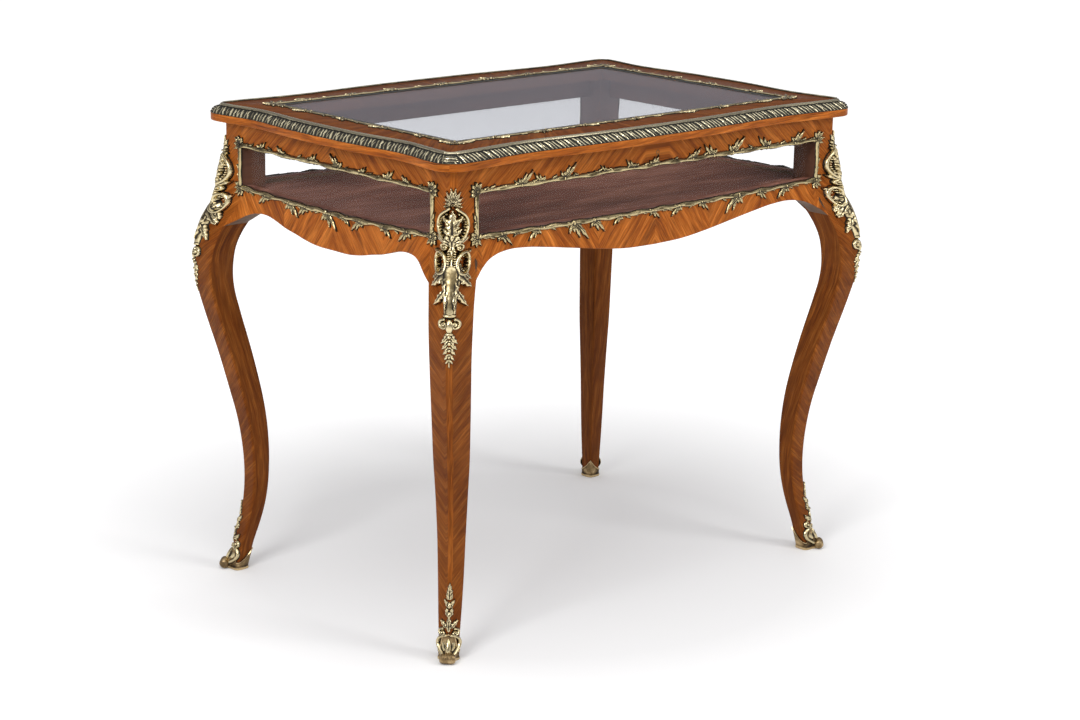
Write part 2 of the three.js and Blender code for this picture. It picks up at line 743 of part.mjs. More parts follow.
// Hinges: the axis runs along the back of the frieze, level with the joint under the lid
function hingeAxis(side) {
  return { y: -side.reach - fitGap - hingeKnuckleRadius, z: lidUnderside - fitGap / 2 };
}

function hingePlaces() {
  return [-1, 1].map((way) => way * hingePlaceShare * friezeLength / 2);
}

// One leaf with every other knuckle; the lower one has the first and last
function hingeLeaf(side, x, upper) {
  const { y, z } = hingeAxis(side);
  const low = upper ? lidUnderside : caseTop - hingeLeafThickness;
  const thickness = [low, low + hingeLeafThickness];
  const start = x - hingeWidth / 2;
  const step = hingeWidth / hingeKnuckles;
  let body = block([start, start + hingeWidth], [-side.reach, -side.reach + hingeLeafDepth], thickness);
  for (let i = upper ? 1 : 0; i < hingeKnuckles; i += 2) {
    const span = widened([start + i * step, start + (i + 1) * step], -fitGap / 2);
    body = body.add(block(span, [y, -side.reach + hingeLeafThickness], thickness));
    body = body.add(bar(hingeKnuckleRadius, span, y, z));
  }
  const through = widened([start, start + hingeWidth], overrun);
  return toGeometry(body.subtract(bar(hingePinRadius + fitGap, through, y, z)));
}

function hingePin(side, x) {
  const { y, z } = hingeAxis(side);
  return toGeometry(bar(hingePinRadius, [x - hingeWidth / 2, x + hingeWidth / 2], y, z));
}

// Lock: its room in the rail, open to the inside and above, is its own size and a clearance
function lockSpans(side) {
  const back = -side.reach + railThickness;
  return [[-lockWidth / 2, lockWidth / 2], [back - lockDepth, back], [caseTop - lockHeight, caseTop]];
}

function lockRoom(side, gap) {
  const [x, y, z] = lockSpans(side);
  return block(widened(x, gap), [y[0] - gap, y[1] + overrun], [z[0] - gap, z[1] + overrun]);
}

function boltSpans(side, gap) {
  const middle = -side.reach + railThickness - lockDepth / 2;
  const top = caseTop - boltSetback;
  return [
    widened([-boltWidth / 2, boltWidth / 2], gap),
    widened([middle - boltThickness / 2, middle + boltThickness / 2], gap),
    widened([top - boltLength, top], gap),
  ];
}

function lockCase(side) {
  const [x, y, z] = boltSpans(side, fitGap);
  const bore = keyhole(side, 0, keyBoreDepth);
  return toGeometry(block(...lockSpans(side)).subtract(block(x, y, [z[0], z[1] + overrun])).subtract(bore));
}

function lockBolt(side) {
  return toGeometry(block(...boltSpans(side, 0)));
}

function strikerSpans(side, gap) {
  const middle = -side.reach + railThickness - lockDepth / 2;
  return [
    widened([-strikerWidth / 2, strikerWidth / 2], gap),
    widened([middle - strikerDepth / 2, middle + strikerDepth / 2], gap),
    [lidUnderside, lidUnderside + strikerThickness + gap],
  ];
}

function striker(side) {
  const [x, y] = boltSpans(side, boltClearance);
  const slot = block(x, y, [lidUnderside - overrun, lidUnderside + strikerThickness + overrun]);
  return toGeometry(block(...strikerSpans(side, 0)).subtract(slot));
}

// Keyhole as a solid: a round hole over a slot, grown all round, from the face inwards
function keyhole(side, grow, beyond = 0) {
  const z = caseTop - keyholeDrop;
  const face = -side.reach;
  const depth = railThickness - lockDepth;
  const round = new THREE.CylinderGeometry(keyholeRadius + grow, keyholeRadius + grow,
    depth + beyond + overrun, roundSteps);
  const hole = solid(round.translate(0, face + (depth + beyond - overrun) / 2, z));
  const half = keyholeSlotWidth / 2 + grow;
  const slot = block([-half, half], [face - overrun, face + depth + beyond], [z - keyholeSlotLength - grow, z]);
  return hole.add(slot);
}

// Brass liner that fills the rail's keyhole and stands a little proud
function keyholeLiner(side) {
  const face = -side.reach;
  const length = [face - keyholeProud, face + railThickness - lockDepth - fitGap];
  const room = block([-lockWidth, lockWidth], length, [paneTop, caseTop]);
  return toGeometry(keyhole(side, keyholeWall).intersect(room).subtract(keyhole(side, 0)));
}

// Assembly
const table = new THREE.Group();

function add(parent, name, geometry, finish) {
  const mesh = new THREE.Mesh(geometry, finish);
  mesh.name = name;
  parent.add(mesh);
}

const legGeometry = leg();
const kneeMountGeometry = kneeMount();
const shoeGeometry = shoe();
corners.forEach((name, quarter) => {
  const corner = new THREE.Group();
  const right = name.endsWith('right') ? 1 : -1;
  const back = name.startsWith('back') ? 1 : -1;
  corner.position.set(right * friezeLength / 2, back * friezeDepth / 2, 0);
  corner.rotation.z = quarter * Math.PI / 2;
  add(corner, `leg_${name}`, legGeometry, finishes.kingwood);
  add(corner, `knee_mount_${name}`, kneeMountGeometry, finishes.brass);
  add(corner, `shoe_${name}`, shoeGeometry, finishes.brass);
  table.add(corner);
});

for (const side of sides) {
  const wall = new THREE.Group();
  wall.rotation.z = side.quarter * Math.PI / 2;
  add(wall, `top_rail_${side.name}`, topRail(side), finishes.kingwood);
  add(wall, `apron_${side.name}`, apron(side), finishes.kingwood);
  add(wall, `side_glass_${side.name}`, pane(side), finishes.glass);
  add(wall, `pane_mount_${side.name}`, paneMount(side), finishes.brass);
  add(wall, `base_cleat_${side.name}`, cleat(side), finishes.plainWood);
  add(wall, `lid_board_${side.name}`, lidBoard(side), finishes.kingwood);
  add(wall, `edge_band_${side.name}`, edgeBand(side), finishes.brass);
  if (side.name === 'front') {
    add(wall, 'lock_case', lockCase(side), finishes.steel);
    add(wall, 'lock_bolt', lockBolt(side), finishes.steel);
    add(wall, 'striker_plate', striker(side), finishes.brass);
    add(wall, 'keyhole_liner', keyholeLiner(side), finishes.brass);
  }
  if (side.name === 'back') {
    hingePlaces().forEach((x, i) => {
      const end = i === 0 ? 'right' : 'left';
      add(wall, `hinge_lower_leaf_${end}`, hingeLeaf(side, x, false), finishes.brass);
      add(wall, `hinge_upper_leaf_${end}`, hingeLeaf(side, x, true), finishes.brass);
      add(wall, `hinge_pin_${end}`, hingePin(side, x), finishes.steel);
    });
  }
  table.add(wall);
}

add(table, 'base_board', floorPlate(boardLower, boardUpper, fitGap), finishes.plainWood);
add(table, 'velvet_lining', floorPlate(velvetBottom, velvetTop, fitGap), finishes.velvet);
add(table, 'lid_glass', lidGlass(), finishes.glass);
add(table, 'glass_mount', glassMount(), finishes.brass);

export default table;
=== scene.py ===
import math

import bpy
import numpy as np
from mathutils import Matrix, Vector


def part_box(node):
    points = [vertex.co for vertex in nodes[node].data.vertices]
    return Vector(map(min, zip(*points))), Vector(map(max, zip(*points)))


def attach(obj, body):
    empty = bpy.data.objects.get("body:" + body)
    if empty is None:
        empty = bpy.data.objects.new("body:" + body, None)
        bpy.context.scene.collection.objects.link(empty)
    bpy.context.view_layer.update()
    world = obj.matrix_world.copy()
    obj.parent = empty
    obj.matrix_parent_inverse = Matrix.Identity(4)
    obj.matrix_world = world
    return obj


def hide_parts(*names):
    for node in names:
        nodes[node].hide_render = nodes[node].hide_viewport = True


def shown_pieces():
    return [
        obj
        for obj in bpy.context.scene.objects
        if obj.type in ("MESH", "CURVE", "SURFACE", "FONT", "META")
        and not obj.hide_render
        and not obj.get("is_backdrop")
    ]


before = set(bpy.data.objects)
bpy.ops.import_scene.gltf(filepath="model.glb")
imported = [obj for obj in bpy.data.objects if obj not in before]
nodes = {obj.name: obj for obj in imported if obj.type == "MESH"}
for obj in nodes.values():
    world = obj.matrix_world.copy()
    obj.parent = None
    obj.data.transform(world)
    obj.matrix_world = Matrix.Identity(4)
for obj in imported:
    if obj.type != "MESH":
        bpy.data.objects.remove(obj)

bpy.context.scene.view_settings.view_transform = "Standard"
mm = 0.001
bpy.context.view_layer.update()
cornerNames = ["front_left", "front_right", "back_right", "back_left"]      # quarter turns 0 to 3
sideNames = ["front", "right", "back", "left"]
print("frame loaded:", len(nodes), "nodes")

# Places read from the frame, in metres
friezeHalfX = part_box("top_rail_right")[1].x
friezeHalfY = -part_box("top_rail_front")[0].y
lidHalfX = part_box("lid_board_right")[1].x
lidHalfY = -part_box("lid_board_front")[0].y
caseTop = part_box("top_rail_front")[1].z
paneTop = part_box("top_rail_front")[0].z
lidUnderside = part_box("lid_board_front")[0].z
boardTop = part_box("lid_board_front")[1].z
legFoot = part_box("leg_front_left")[0].z

# Sizes shared by several pieces, as the solids have them
plan = {
    "post": 46 * mm, "railThickness": 22 * mm, "gap": 0.3 * mm, "paneBottom": 633 * mm, "kneeTop": 625 * mm,
    "bowLong": 4 * mm, "bowShort": 5 * mm, "arrisShare": 0.145, "filletTop": 743 * mm, "swell": 6 * mm,
    "swellRise": 58 * mm, "swellDrop": 70 * mm, "swellInner": 0.55, "swellRoot": 0.6,
}


def sideOf(name):
    long = name in ("front", "back")
    return {
        "name": name, "long": long, "quarter": sideNames.index(name),
        "half": friezeHalfX if long else friezeHalfY, "reach": friezeHalfY if long else friezeHalfX,
        "lidHalf": lidHalfX if long else lidHalfY, "lidReach": lidHalfY if long else lidHalfX,
        "bow": plan["bowLong"] if long else plan["bowShort"],
    }


sides = [sideOf(name) for name in sideNames]


# Points and curves
def quarterTurn(points, quarter):
    out = np.array(points, float)
    for _ in range(quarter % 4):
        x = out[..., 0].copy()
        out[..., 0] = -out[..., 1]
        out[..., 1] = x
    return out


def cornerPlace(points, quarter):
    # from a corner's own axes, with the middle of the table towards +X +Y, to its place
    out = quarterTurn(points, quarter)
    out[..., 0] += friezeHalfX * (1 if quarter in (1, 2) else -1)
    out[..., 1] += friezeHalfY * (1 if quarter in (2, 3) else -1)
    return out


def curve(at, places, values):
    # smooth curve through values at rising places
    places, values, at = (np.asarray(a, float) for a in (places, values, at))
    slopes = np.gradient(values, places)
    i = np.clip(np.searchsorted(places, at) - 1, 0, len(places) - 2)
    span = places[i + 1] - places[i]
    t = np.clip((at - places[i]) / span, 0, 1)
    level = (2 * t ** 3 - 3 * t ** 2 + 1) * values[i] + (3 * t ** 2 - 2 * t ** 3) * values[i + 1]
    return level + ((t ** 3 - 2 * t ** 2 + t) * slopes[i] + (t ** 3 - t ** 2) * slopes[i + 1]) * span


def smoothstep(x, low, high):
    t = np.clip((np.asarray(x, float) - low) / (high - low), 0, 1)
    return t * t * (3 - 2 * t)


def stack(*parts):
    return np.stack(np.broadcast_arrays(*parts), axis=-1)


# Meshes
def newObject(name, data):
    made = bpy.data.objects.new(name, data)
    bpy.context.scene.collection.objects.link(made)
    return made


def meshPiece(name, points, faces, materials, loopUvs=None, indexes=None, cavity=None, sharp=40):
    counts = np.array([len(face) for face in faces]) if isinstance(faces, list) else np.full(len(faces), 4)
    loops = np.concatenate([np.asarray(face) for face in faces]) if isinstance(faces, list) else faces.ravel()
    mesh = bpy.data.meshes.new(name)
    mesh.vertices.add(len(points))
    mesh.vertices.foreach_set("co", np.asarray(points, np.float32).ravel())
    mesh.loops.add(len(loops))
    mesh.loops.foreach_set("vertex_index", loops.astype(np.int32))
    mesh.polygons.add(len(counts))
    mesh.polygons.foreach_set("loop_start", np.concatenate([[0], np.cumsum(counts)[:-1]]).astype(np.int32))
    for material in materials:
        mesh.materials.append(material)
    if indexes is not None:
        mesh.polygons.foreach_set("material_index", np.asarray(indexes, np.int32))
    mesh.update(calc_edges=True)
    if loopUvs is not None:
        mesh.uv_layers.new(name="grain").data.foreach_set("uv", np.asarray(loopUvs, np.float32).ravel())
    if cavity is not None:
        mesh.attributes.new("cavity", "FLOAT", "POINT").data.foreach_set("value", cavity.astype(np.float32))
    mesh.polygons.foreach_set("use_smooth", np.ones(len(mesh.polygons), bool))
    mesh.set_sharp_from_angle(angle=math.radians(sharp))
    return newObject(name, mesh)


def loftPiece(name, rings, uvs, materials, columnIndexes, capIndex):
    # rings is (rings, points, 3); uvs is (rings, points + 1, 2), so that the seam can differ
    count, around = rings.shape[:2]
    i, j = (a.ravel() for a in np.meshgrid(np.arange(count - 1), np.arange(around), indexing="ij"))
    k = (j + 1) % around
    quads = np.stack([i * around + j, i * around + k, (i + 1) * around + k, (i + 1) * around + j], 1)
    loopUvs = np.stack([uvs[i, j], uvs[i, j + 1], uvs[i + 1, j + 1], uvs[i + 1, j]], 1).reshape(-1, 2)
    ends = [np.arange(around)[::-1], (count - 1) * around + np.arange(around)]
    loopUvs = np.concatenate([loopUvs, uvs[0, :-1][::-1], uvs[-1, :-1]])
    columnIndexes = np.asarray(columnIndexes)
    columnIndexes = columnIndexes[j] if columnIndexes.ndim == 1 else columnIndexes[i, j]
    points = rings.reshape(-1, 3)
    a, b, c, d = (points[quads[:, n]] for n in range(4))
    volume = np.einsum("ij,ij->i", np.cross(b - a, d - a), (a + c) / 2 - points.mean(axis=0)).sum()
    faces = list(quads) + ends
    if volume < 0:      # the faces must point outwards
        starts = np.cumsum([0] + [len(face) for face in faces])
        faces = [face[::-1] for face in faces]
        loopUvs = np.concatenate([loopUvs[s:e][::-1] for s, e in zip(starts[:-1], starts[1:])])
    indexes = np.concatenate([columnIndexes, [capIndex, capIndex]])
    return meshPiece(name, points, faces, materials, loopUvs, indexes)


def finishPiece(piece, body, slot, *replaced):
    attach(piece, body)
    if replaced:
        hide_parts(*replaced)
    return piece


# Castings are reliefs: a height over a flat map (u, v), which is then laid on the surface
def newRelief(uLow, uHigh, vLow, vHigh, step):
    u = np.arange(uLow, uHigh + step / 2, step)
    v = np.arange(vLow, vHigh + step / 2, step)
    return {"u": u, "v": v, "height": np.full((len(u), len(v)), -1.0)}


def stamp(relief, centre, reach, shape):
    u, v = relief["u"], relief["v"]
    i0, i1 = np.searchsorted(u, [centre[0] - reach, centre[0] + reach])
    j0, j1 = np.searchsorted(v, [centre[1] - reach, centre[1] + reach])
    if i0 >= i1 or j0 >= j1:
        return
    x, y = np.meshgrid(u[i0:i1] - centre[0], v[j0:j1] - centre[1], indexing="ij")
    window = relief["height"][i0:i1, j0:j1]
    np.maximum(window, shape(x, y), out=window)


def bead(relief, centre, radius, rise, stretch=1.0, turn=0.0):
    cos, sin = math.cos(turn), math.sin(turn)

    def shape(x, y):
        s, t = (x * cos + y * sin) / stretch, y * cos - x * sin
        inside = 1 - (s * s + t * t) / radius ** 2
        return np.where(inside > 0, rise * np.sqrt(np.clip(inside, 0, 1)), -1)

    stamp(relief, centre, radius * max(stretch, 1), shape)


def tube(relief, path, radii, rises, flat=0.5):
    path = np.asarray(path, float)
    radii, rises = np.broadcast_to(radii, len(path)), np.broadcast_to(rises, len(path))
    for a, b, r0, r1, h0, h1 in zip(path[:-1], path[1:], radii[:-1], radii[1:], rises[:-1], rises[1:]):
        along, length = b - a, max(float(np.hypot(*(b - a))), 1e-9)

        def shape(x, y):
            t = np.clip((x * along[0] + y * along[1]) / length ** 2 + 0.5, 0, 1)
            dx, dy = x - along[0] * (t - 0.5), y - along[1] * (t - 0.5)
            inside = 1 - (dx * dx + dy * dy) / (r0 + (r1 - r0) * t) ** 2
            return np.where(inside > 0, (h0 + (h1 - h0) * t) * np.clip(inside, 0, 1) ** flat, -1)

        stamp(relief, (a + b) / 2, length / 2 + max(r0, r1), shape)


scrollShape = {
    "points": 26, "windIn": 0.72, "thinning": 0.45, "startRise": 0.75, "eye": 0.36, "eyeRise": 1.15,
}


def scroll(relief, centre, radius, start, turns, thick, rise):
    # spiral bar that winds in to an eye; turns below zero wind the other way
    look = scrollShape
    t = np.linspace(0, 1, look["points"])
    angle = start + turns * 2 * math.pi * t
    r = radius * (1 - look["windIn"] * t)
    path = np.stack([centre[0] + r * np.cos(angle), centre[1] + r * np.sin(angle)], 1)
    rises = rise * (look["startRise"] + (1 - look["startRise"]) * t)
    tube(relief, path, thick * (1 - look["thinning"] * t), rises)
    bead(relief, centre, radius * look["eye"], rise * look["eyeRise"])


leafShape = {
    "shoulder": 0.7, "fullness": 0.8, "lobeDepth": 0.14, "tipRise": 0.28, "ribDepth": 0.34, "ribWidth": 0.09,
    "veinDepth": 0.13, "veinSlant": 0.55,
}


def leaf(relief, centre, angle, length, width, rise, lobes=3, bend=0.0):
    # leaf from its stalk at centre, pointing along angle, with a rib, veins and a lobed edge
    look, cos, sin = leafShape, math.cos(angle), math.sin(angle)

    def shape(x, y):
        s = (x * cos + y * sin) / length
        on = np.clip(s, 0, 1)
        t = y * cos - x * sin - bend * length * on ** 2
        body = width / 2 * np.sin(math.pi * on ** look["shoulder"]) ** look["fullness"]
        lobed = 1 - look["lobeDepth"] + look["lobeDepth"] * np.cos(2 * math.pi * lobes * s)
        ratio = np.abs(t) / np.maximum(body * lobed, 1e-6)
        dome = np.sqrt(np.clip(1 - ratio ** 2, 0, 1)) * (1 - look["tipRise"] * (1 - on))
        groove = look["ribDepth"] * np.exp(-(t / (look["ribWidth"] * width)) ** 2) * (1 - on)
        veins = look["veinDepth"] * np.cos(2 * math.pi * (lobes * s - look["veinSlant"] * ratio)) * ratio
        return np.where((s > 0) & (s < 1) & (ratio < 1), rise * (dome - groove - veins), -1)

    stamp(relief, centre, length * 1.05 + width / 2, shape)


shellShape = {"scallop": 0.14, "rootRise": 0.35, "swellPower": 1.3, "swellEnd": 0.92, "grooveDepth": 0.45}


def shell(relief, centre, angle, radius, spread, ribs, rise):
    # fan of ribs with a scalloped edge
    look = shellShape

    def shape(x, y):
        r, turn = np.hypot(x, y), np.arctan2(y, x) - angle
        turn = (turn + math.pi) % (2 * math.pi) - math.pi
        rib = np.abs(np.cos(ribs * turn / spread * math.pi / 2))
        edge = radius * (1 - look["scallop"] * (1 - rib))
        swell = np.sin(math.pi * np.clip(r / edge, 0, 1) ** look["swellPower"] * look["swellEnd"])
        h = rise * (look["rootRise"] + (1 - look["rootRise"]) * swell) * (1 - look["grooveDepth"] * (1 - rib))
        return np.where((np.abs(turn) < spread) & (r < edge), h, -1)

    stamp(relief, centre, radius, shape)


def at(x, z):
    return (x * mm, z * mm)


def bowPath(way, start, bow, power, top, drop, points):
    # path that bows out to one side on its way down, from sizes in millimetres
    t = np.linspace(0, 1, points)
    return np.stack([way * (start + bow * np.sin(math.pi * t ** power)), top - drop * t], 1) * mm


def castFigure(relief, figure):
    # each row, in millimetres and degrees, is made on the left and on the right of the middle
    for way in (1, -1):
        for x, z, turn, length, width, rise, lobes, bend in figure["leaves"]:
            angle = math.radians(turn if way > 0 else 180 - turn)
            leaf(relief, at(way * x, z), angle, length * mm, width * mm, rise * mm, lobes, way * bend)
        for x, z, radius, rise, stretch, turn in figure["beads"]:
            bead(relief, at(way * x, z), radius * mm, rise * mm, stretch, math.radians(turn))
        for x, z, radius, thick, rise in figure["scrolls"]:
            turns = -way * figure["scrollTurns"]
            scroll(relief, at(way * x, z), radius * mm, math.pi / 2, turns, thick * mm, rise * mm)


def cornerSpray(relief, corner, outward, look):
    # leaves that spread from a corner: straight out first, then on both sides
    for turn, share in look["cornerLeaves"]:
        for way in (1, -1):
            leaf(relief, corner, outward + way * math.radians(turn), look["cornerSize"] * share,
                 look["cornerWidth"], look["leafRise"], bend=-look["cornerBend"] * way * np.sign(turn))
    bead(relief, corner, look["cornerBead"], look["leafRise"] * look["cornerBeadRise"])


def softened(height, passes):
    out = height.copy()
    for _ in range(passes):
        out[1:-1] = (out[:-2] + 2 * out[1:-1] + out[2:]) / 4
        out[:, 1:-1] = (out[:, :-2] + 2 * out[:, 1:-1] + out[:, 2:]) / 4
    return out


def keptCells(up, whole):
    corners = (up[:-1, :-1], up[1:, :-1], up[1:, 1:], up[:-1, 1:])
    keep = np.logical_and.reduce(corners) if whole else np.logical_or.reduce(corners)
    for _ in range(3):      # two cells never meet at a corner alone
        a, b, c, d = keep[:-1, :-1], keep[1:, 1:], keep[1:, :-1], keep[:-1, 1:]
        keep[1:, :-1] |= a & b & ~c & ~d
        keep[:-1, :-1] |= keep[1:, :-1] & keep[:-1, 1:] & ~keep[:-1, :-1] & ~keep[1:, 1:]
    return keep


castLook = {
    "sharp": 55, "hollowDepth": 0.9 * mm, "creaseDepth": 0.5 * mm, "rim": 0.15 * mm, "rimDirt": 0.5,
    "backDirt": 0.6,
}


def reliefPiece(name, relief, place, material, back, whole=False):
    # closed mesh over the cells that stand up; place(u, v, h) gives points on the surface
    look, height = castLook, relief["height"]
    keep = keptCells(height > 0, whole)
    columns = height.shape[1]
    i, j = np.nonzero(keep)
    here, beyond = i * columns + j, (i + 1) * columns + j
    first = np.stack([here, beyond, beyond + 1, here + 1], 1)
    padded = np.pad(keep, 1)
    walls = []
    for di, dj, a, b in ((0, -1, 0, 1), (1, 0, 1, 2), (0, 1, 2, 3), (-1, 0, 3, 0)):
        atEdge = ~padded[i + 1 + di, j + 1 + dj]
        walls.append(np.stack([first[atEdge, b], first[atEdge, a]], 1))
    used = np.unique(first)
    index = np.full(height.size, -1)
    index[used] = np.arange(len(used))
    count = len(used)
    top, edges = index[first], index[np.concatenate(walls)]
    faces = np.concatenate([top, top[:, ::-1] + count, np.concatenate([edges, edges[:, ::-1] + count], 1)])
    u, v = (a.ravel()[used] for a in np.meshgrid(relief["u"], relief["v"], indexing="ij"))
    base = np.clip(height, 0, None)
    h = base.ravel()[used]
    hollow, crease = ((softened(base, passes) - base).ravel()[used] for passes in (6, 2))
    rim = np.where(h <= look["rim"], look["rimDirt"], 0)
    cavity = np.clip(hollow / look["hollowDepth"] + crease / look["creaseDepth"] + rim, -1, 1)
    points = np.concatenate([place(u, v, h), place(u, v, np.full_like(h, back))])
    a, b, d = points[top[:, 0]], points[top[:, 1]], points[top[:, 3]]
    outwards = place(u, v, h + mm)[top[:, 0]] - a
    if np.einsum("ij,ij->i", np.cross(b - a, d - a), outwards).sum() < 0:
        faces = faces[:, ::-1]
    cavity = np.concatenate([cavity, np.full(count, look["backDirt"])])
    return meshPiece(name, points, faces, [material], cavity=cavity, sharp=look["sharp"])


def castPiece(name, relief, place, material, back, body, *replaced):
    finishPiece(reliefPiece(name, relief, place, material, back), body, "gilt_brass", *replaced)


# Pins that hold the castings: each is at the top of the relief and stands square to it
pinPlaces = {"table": [], "lid": []}


def addPin(body, relief, place, u, v):
    i, j = np.searchsorted(relief["u"], u), np.searchsorted(relief["v"], v)
    h = max(float(relief["height"][i, j]), 0)
    spot, tip = place(np.array([u, u]), np.array([v, v]), np.array([h, h + mm]))
    pinPlaces[body].append((spot, tip - spot))


# Nodes of a material
def setInputs(tree, node, inputs):
    for key, value in inputs.items():
        if isinstance(value, bpy.types.NodeSocket):
            tree.links.new(value, node.inputs[key])
        else:
            node.inputs[key].default_value = value


def addNode(tree, kind, inputs=None, **settings):
    node = tree.nodes.new(kind)
    for key, value in settings.items():
        setattr(node, key, value)
    setInputs(tree, node, inputs or {})
    return node


def maths(tree, operation, a, b=0.0, c=0.0, clamp=False):
    words = {"operation": operation, "use_clamp": clamp}
    return addNode(tree, "ShaderNodeMath", {0: a, 1: b, 2: c}, **words).outputs[0]


def mixed(tree, factor, a, b, blend="MIX"):
    words = {"data_type": "RGBA", "blend_type": blend}      # data_type first, because it sets the sockets
    return addNode(tree, "ShaderNodeMix", {0: factor, 6: a, 7: b}, **words).outputs[2]


def shaded(tree, colour, level):
    grey = addNode(tree, "ShaderNodeCombineColor", {0: level, 1: level, 2: level}).outputs[0]
    return mixed(tree, 1.0, colour, grey, "MULTIPLY")


def ramp(tree, factor, stops):
    node = addNode(tree, "ShaderNodeValToRGB", {0: factor})
    elements = node.color_ramp.elements
    while len(elements) < len(stops):
        elements.new(0.5)
    for element, (place, colour) in zip(elements, stops):
        element.position = place
        element.color = (*colour, 1)
    return node.outputs[0]


def noise(tree, vector, scale, detail=4.0, roughness=0.55):
    words = {"Vector": vector, "Scale": scale, "Detail": detail, "Roughness": roughness}
    return addNode(tree, "ShaderNodeTexNoise", words).outputs[0]


def stretchedNoise(tree, vector, stretch, detail, roughness=0.55):
    place = addNode(tree, "ShaderNodeVectorMath", {0: vector, 1: stretch}, operation="MULTIPLY").outputs[0]
    return noise(tree, place, 1.0, detail, roughness)


def ranged(tree, value, low, high, toLow=0.0, toHigh=1.0):
    return addNode(tree, "ShaderNodeMapRange", {0: value, 1: low, 2: high, 3: toLow, 4: toHigh}).outputs[0]


def bumped(tree, height, strength, distance):
    words = {"Strength": strength, "Distance": distance, "Height": height}
    return addNode(tree, "ShaderNodeBump", words).outputs[0]


def ownPlace(tree):
    return addNode(tree, "ShaderNodeTexCoord").outputs["Object"]


def newGroup(name, given, results):
    tree = bpy.data.node_groups.new(name, "ShaderNodeTree")
    tree.interface.new_socket(given[0], in_out="INPUT", socket_type=given[1])
    for label in results:
        tree.interface.new_socket(label, in_out="OUTPUT", socket_type="NodeSocketFloat")
    return tree, tree.nodes.new("NodeGroupInput").outputs, tree.nodes.new("NodeGroupOutput")


def useGroup(tree, group, inputs):
    return addNode(tree, "ShaderNodeGroup", inputs, node_tree=group).outputs


def newMaterial(name):
    material = bpy.data.materials.new(name)
    material.use_nodes = True
    return material, material.node_tree, material.node_tree.nodes["Principled BSDF"]


# Figured veneer: x of the place runs along the grain and y across it, in metres
figureLook = {      # stretches along and across the grain, detail and roughness, and the range that shows
    "wander": (9, 26, 9), "wanderReach": 0.014, "tone": ((7, 95, 1), 4.0, 0.65),
    "streak": ((26, 560, 1), 5.0, 0.65), "vein": ((7, 160, 1), 5.0, 0.7), "veinRange": (0.54, 0.70),
    "pore": ((170, 2600, 1), 2.0, 0.5), "poreRange": (0.58, 0.72),
}


def makeFigureGroup():
    look = figureLook
    masks = ["Tone", "Streak", "Vein", "Pore"]
    tree, given, result = newGroup("veneerFigure", ("Place", "NodeSocketVector"), masks)
    wander = stretchedNoise(tree, given["Place"], look["wander"], 3.0)
    wander = maths(tree, "MULTIPLY", wander, look["wanderReach"])
    shift = addNode(tree, "ShaderNodeCombineXYZ", {1: wander}).outputs[0]
    bent = addNode(tree, "ShaderNodeVectorMath", {0: given["Place"], 1: shift}, operation="ADD").outputs[0]
    setInputs(tree, result, {
        "Tone": stretchedNoise(tree, bent, *look["tone"]),
        "Streak": stretchedNoise(tree, bent, *look["streak"]),
        "Vein": ranged(tree, stretchedNoise(tree, bent, *look["vein"]), *look["veinRange"]),
        "Pore": ranged(tree, stretchedNoise(tree, bent, *look["pore"]), *look["poreRange"])})
    return tree


wearLook = {"rubbedRange": (0.42, 0.7), "dullScale": 190.0, "dullRange": (0.4, 0.75, 0.0, 0.6)}


def makeWearGroup():
    tree, given, result = newGroup("surfaceWear", ("Scale", "NodeSocketFloat"), ["Rubbed", "Dull"])
    place = ownPlace(tree)
    setInputs(tree, result, {
        "Rubbed": ranged(tree, noise(tree, place, given["Scale"]), *wearLook["rubbedRange"]),
        "Dull": ranged(tree, noise(tree, place, wearLook["dullScale"], 3.0), *wearLook["dullRange"])})
    return tree


figureGroup = makeFigureGroup()
wearGroup = makeWearGroup()

veneer = {
    "deep": (0.195, 0.044, 0.006), "middle": (0.335, 0.087, 0.010), "bright": (0.56, 0.178, 0.030),
    "vein": (0.055, 0.013, 0.004, 1), "toneRange": (0.3, 0.7), "toneStops": (0.0, 0.45, 1.0),
    "streakRange": (0.34, 0.66, 0.5, 1.3), "veinShare": 0.72, "poreShare": 0.35, "rubbedShare": 0.18,
    "wearScale": 11.0, "leafShift": 0.37, "shadeFrom": 0.64, "shadeTo": 0.5, "roughness": 0.38,
    "dullRoughness": 0.25, "coat": 0.03, "dullCoat": -0.3, "coatRoughness": 0.18, "specular": 0.07,
    "streakHeight": 0.25, "bump": (0.12, 0.0003),
}


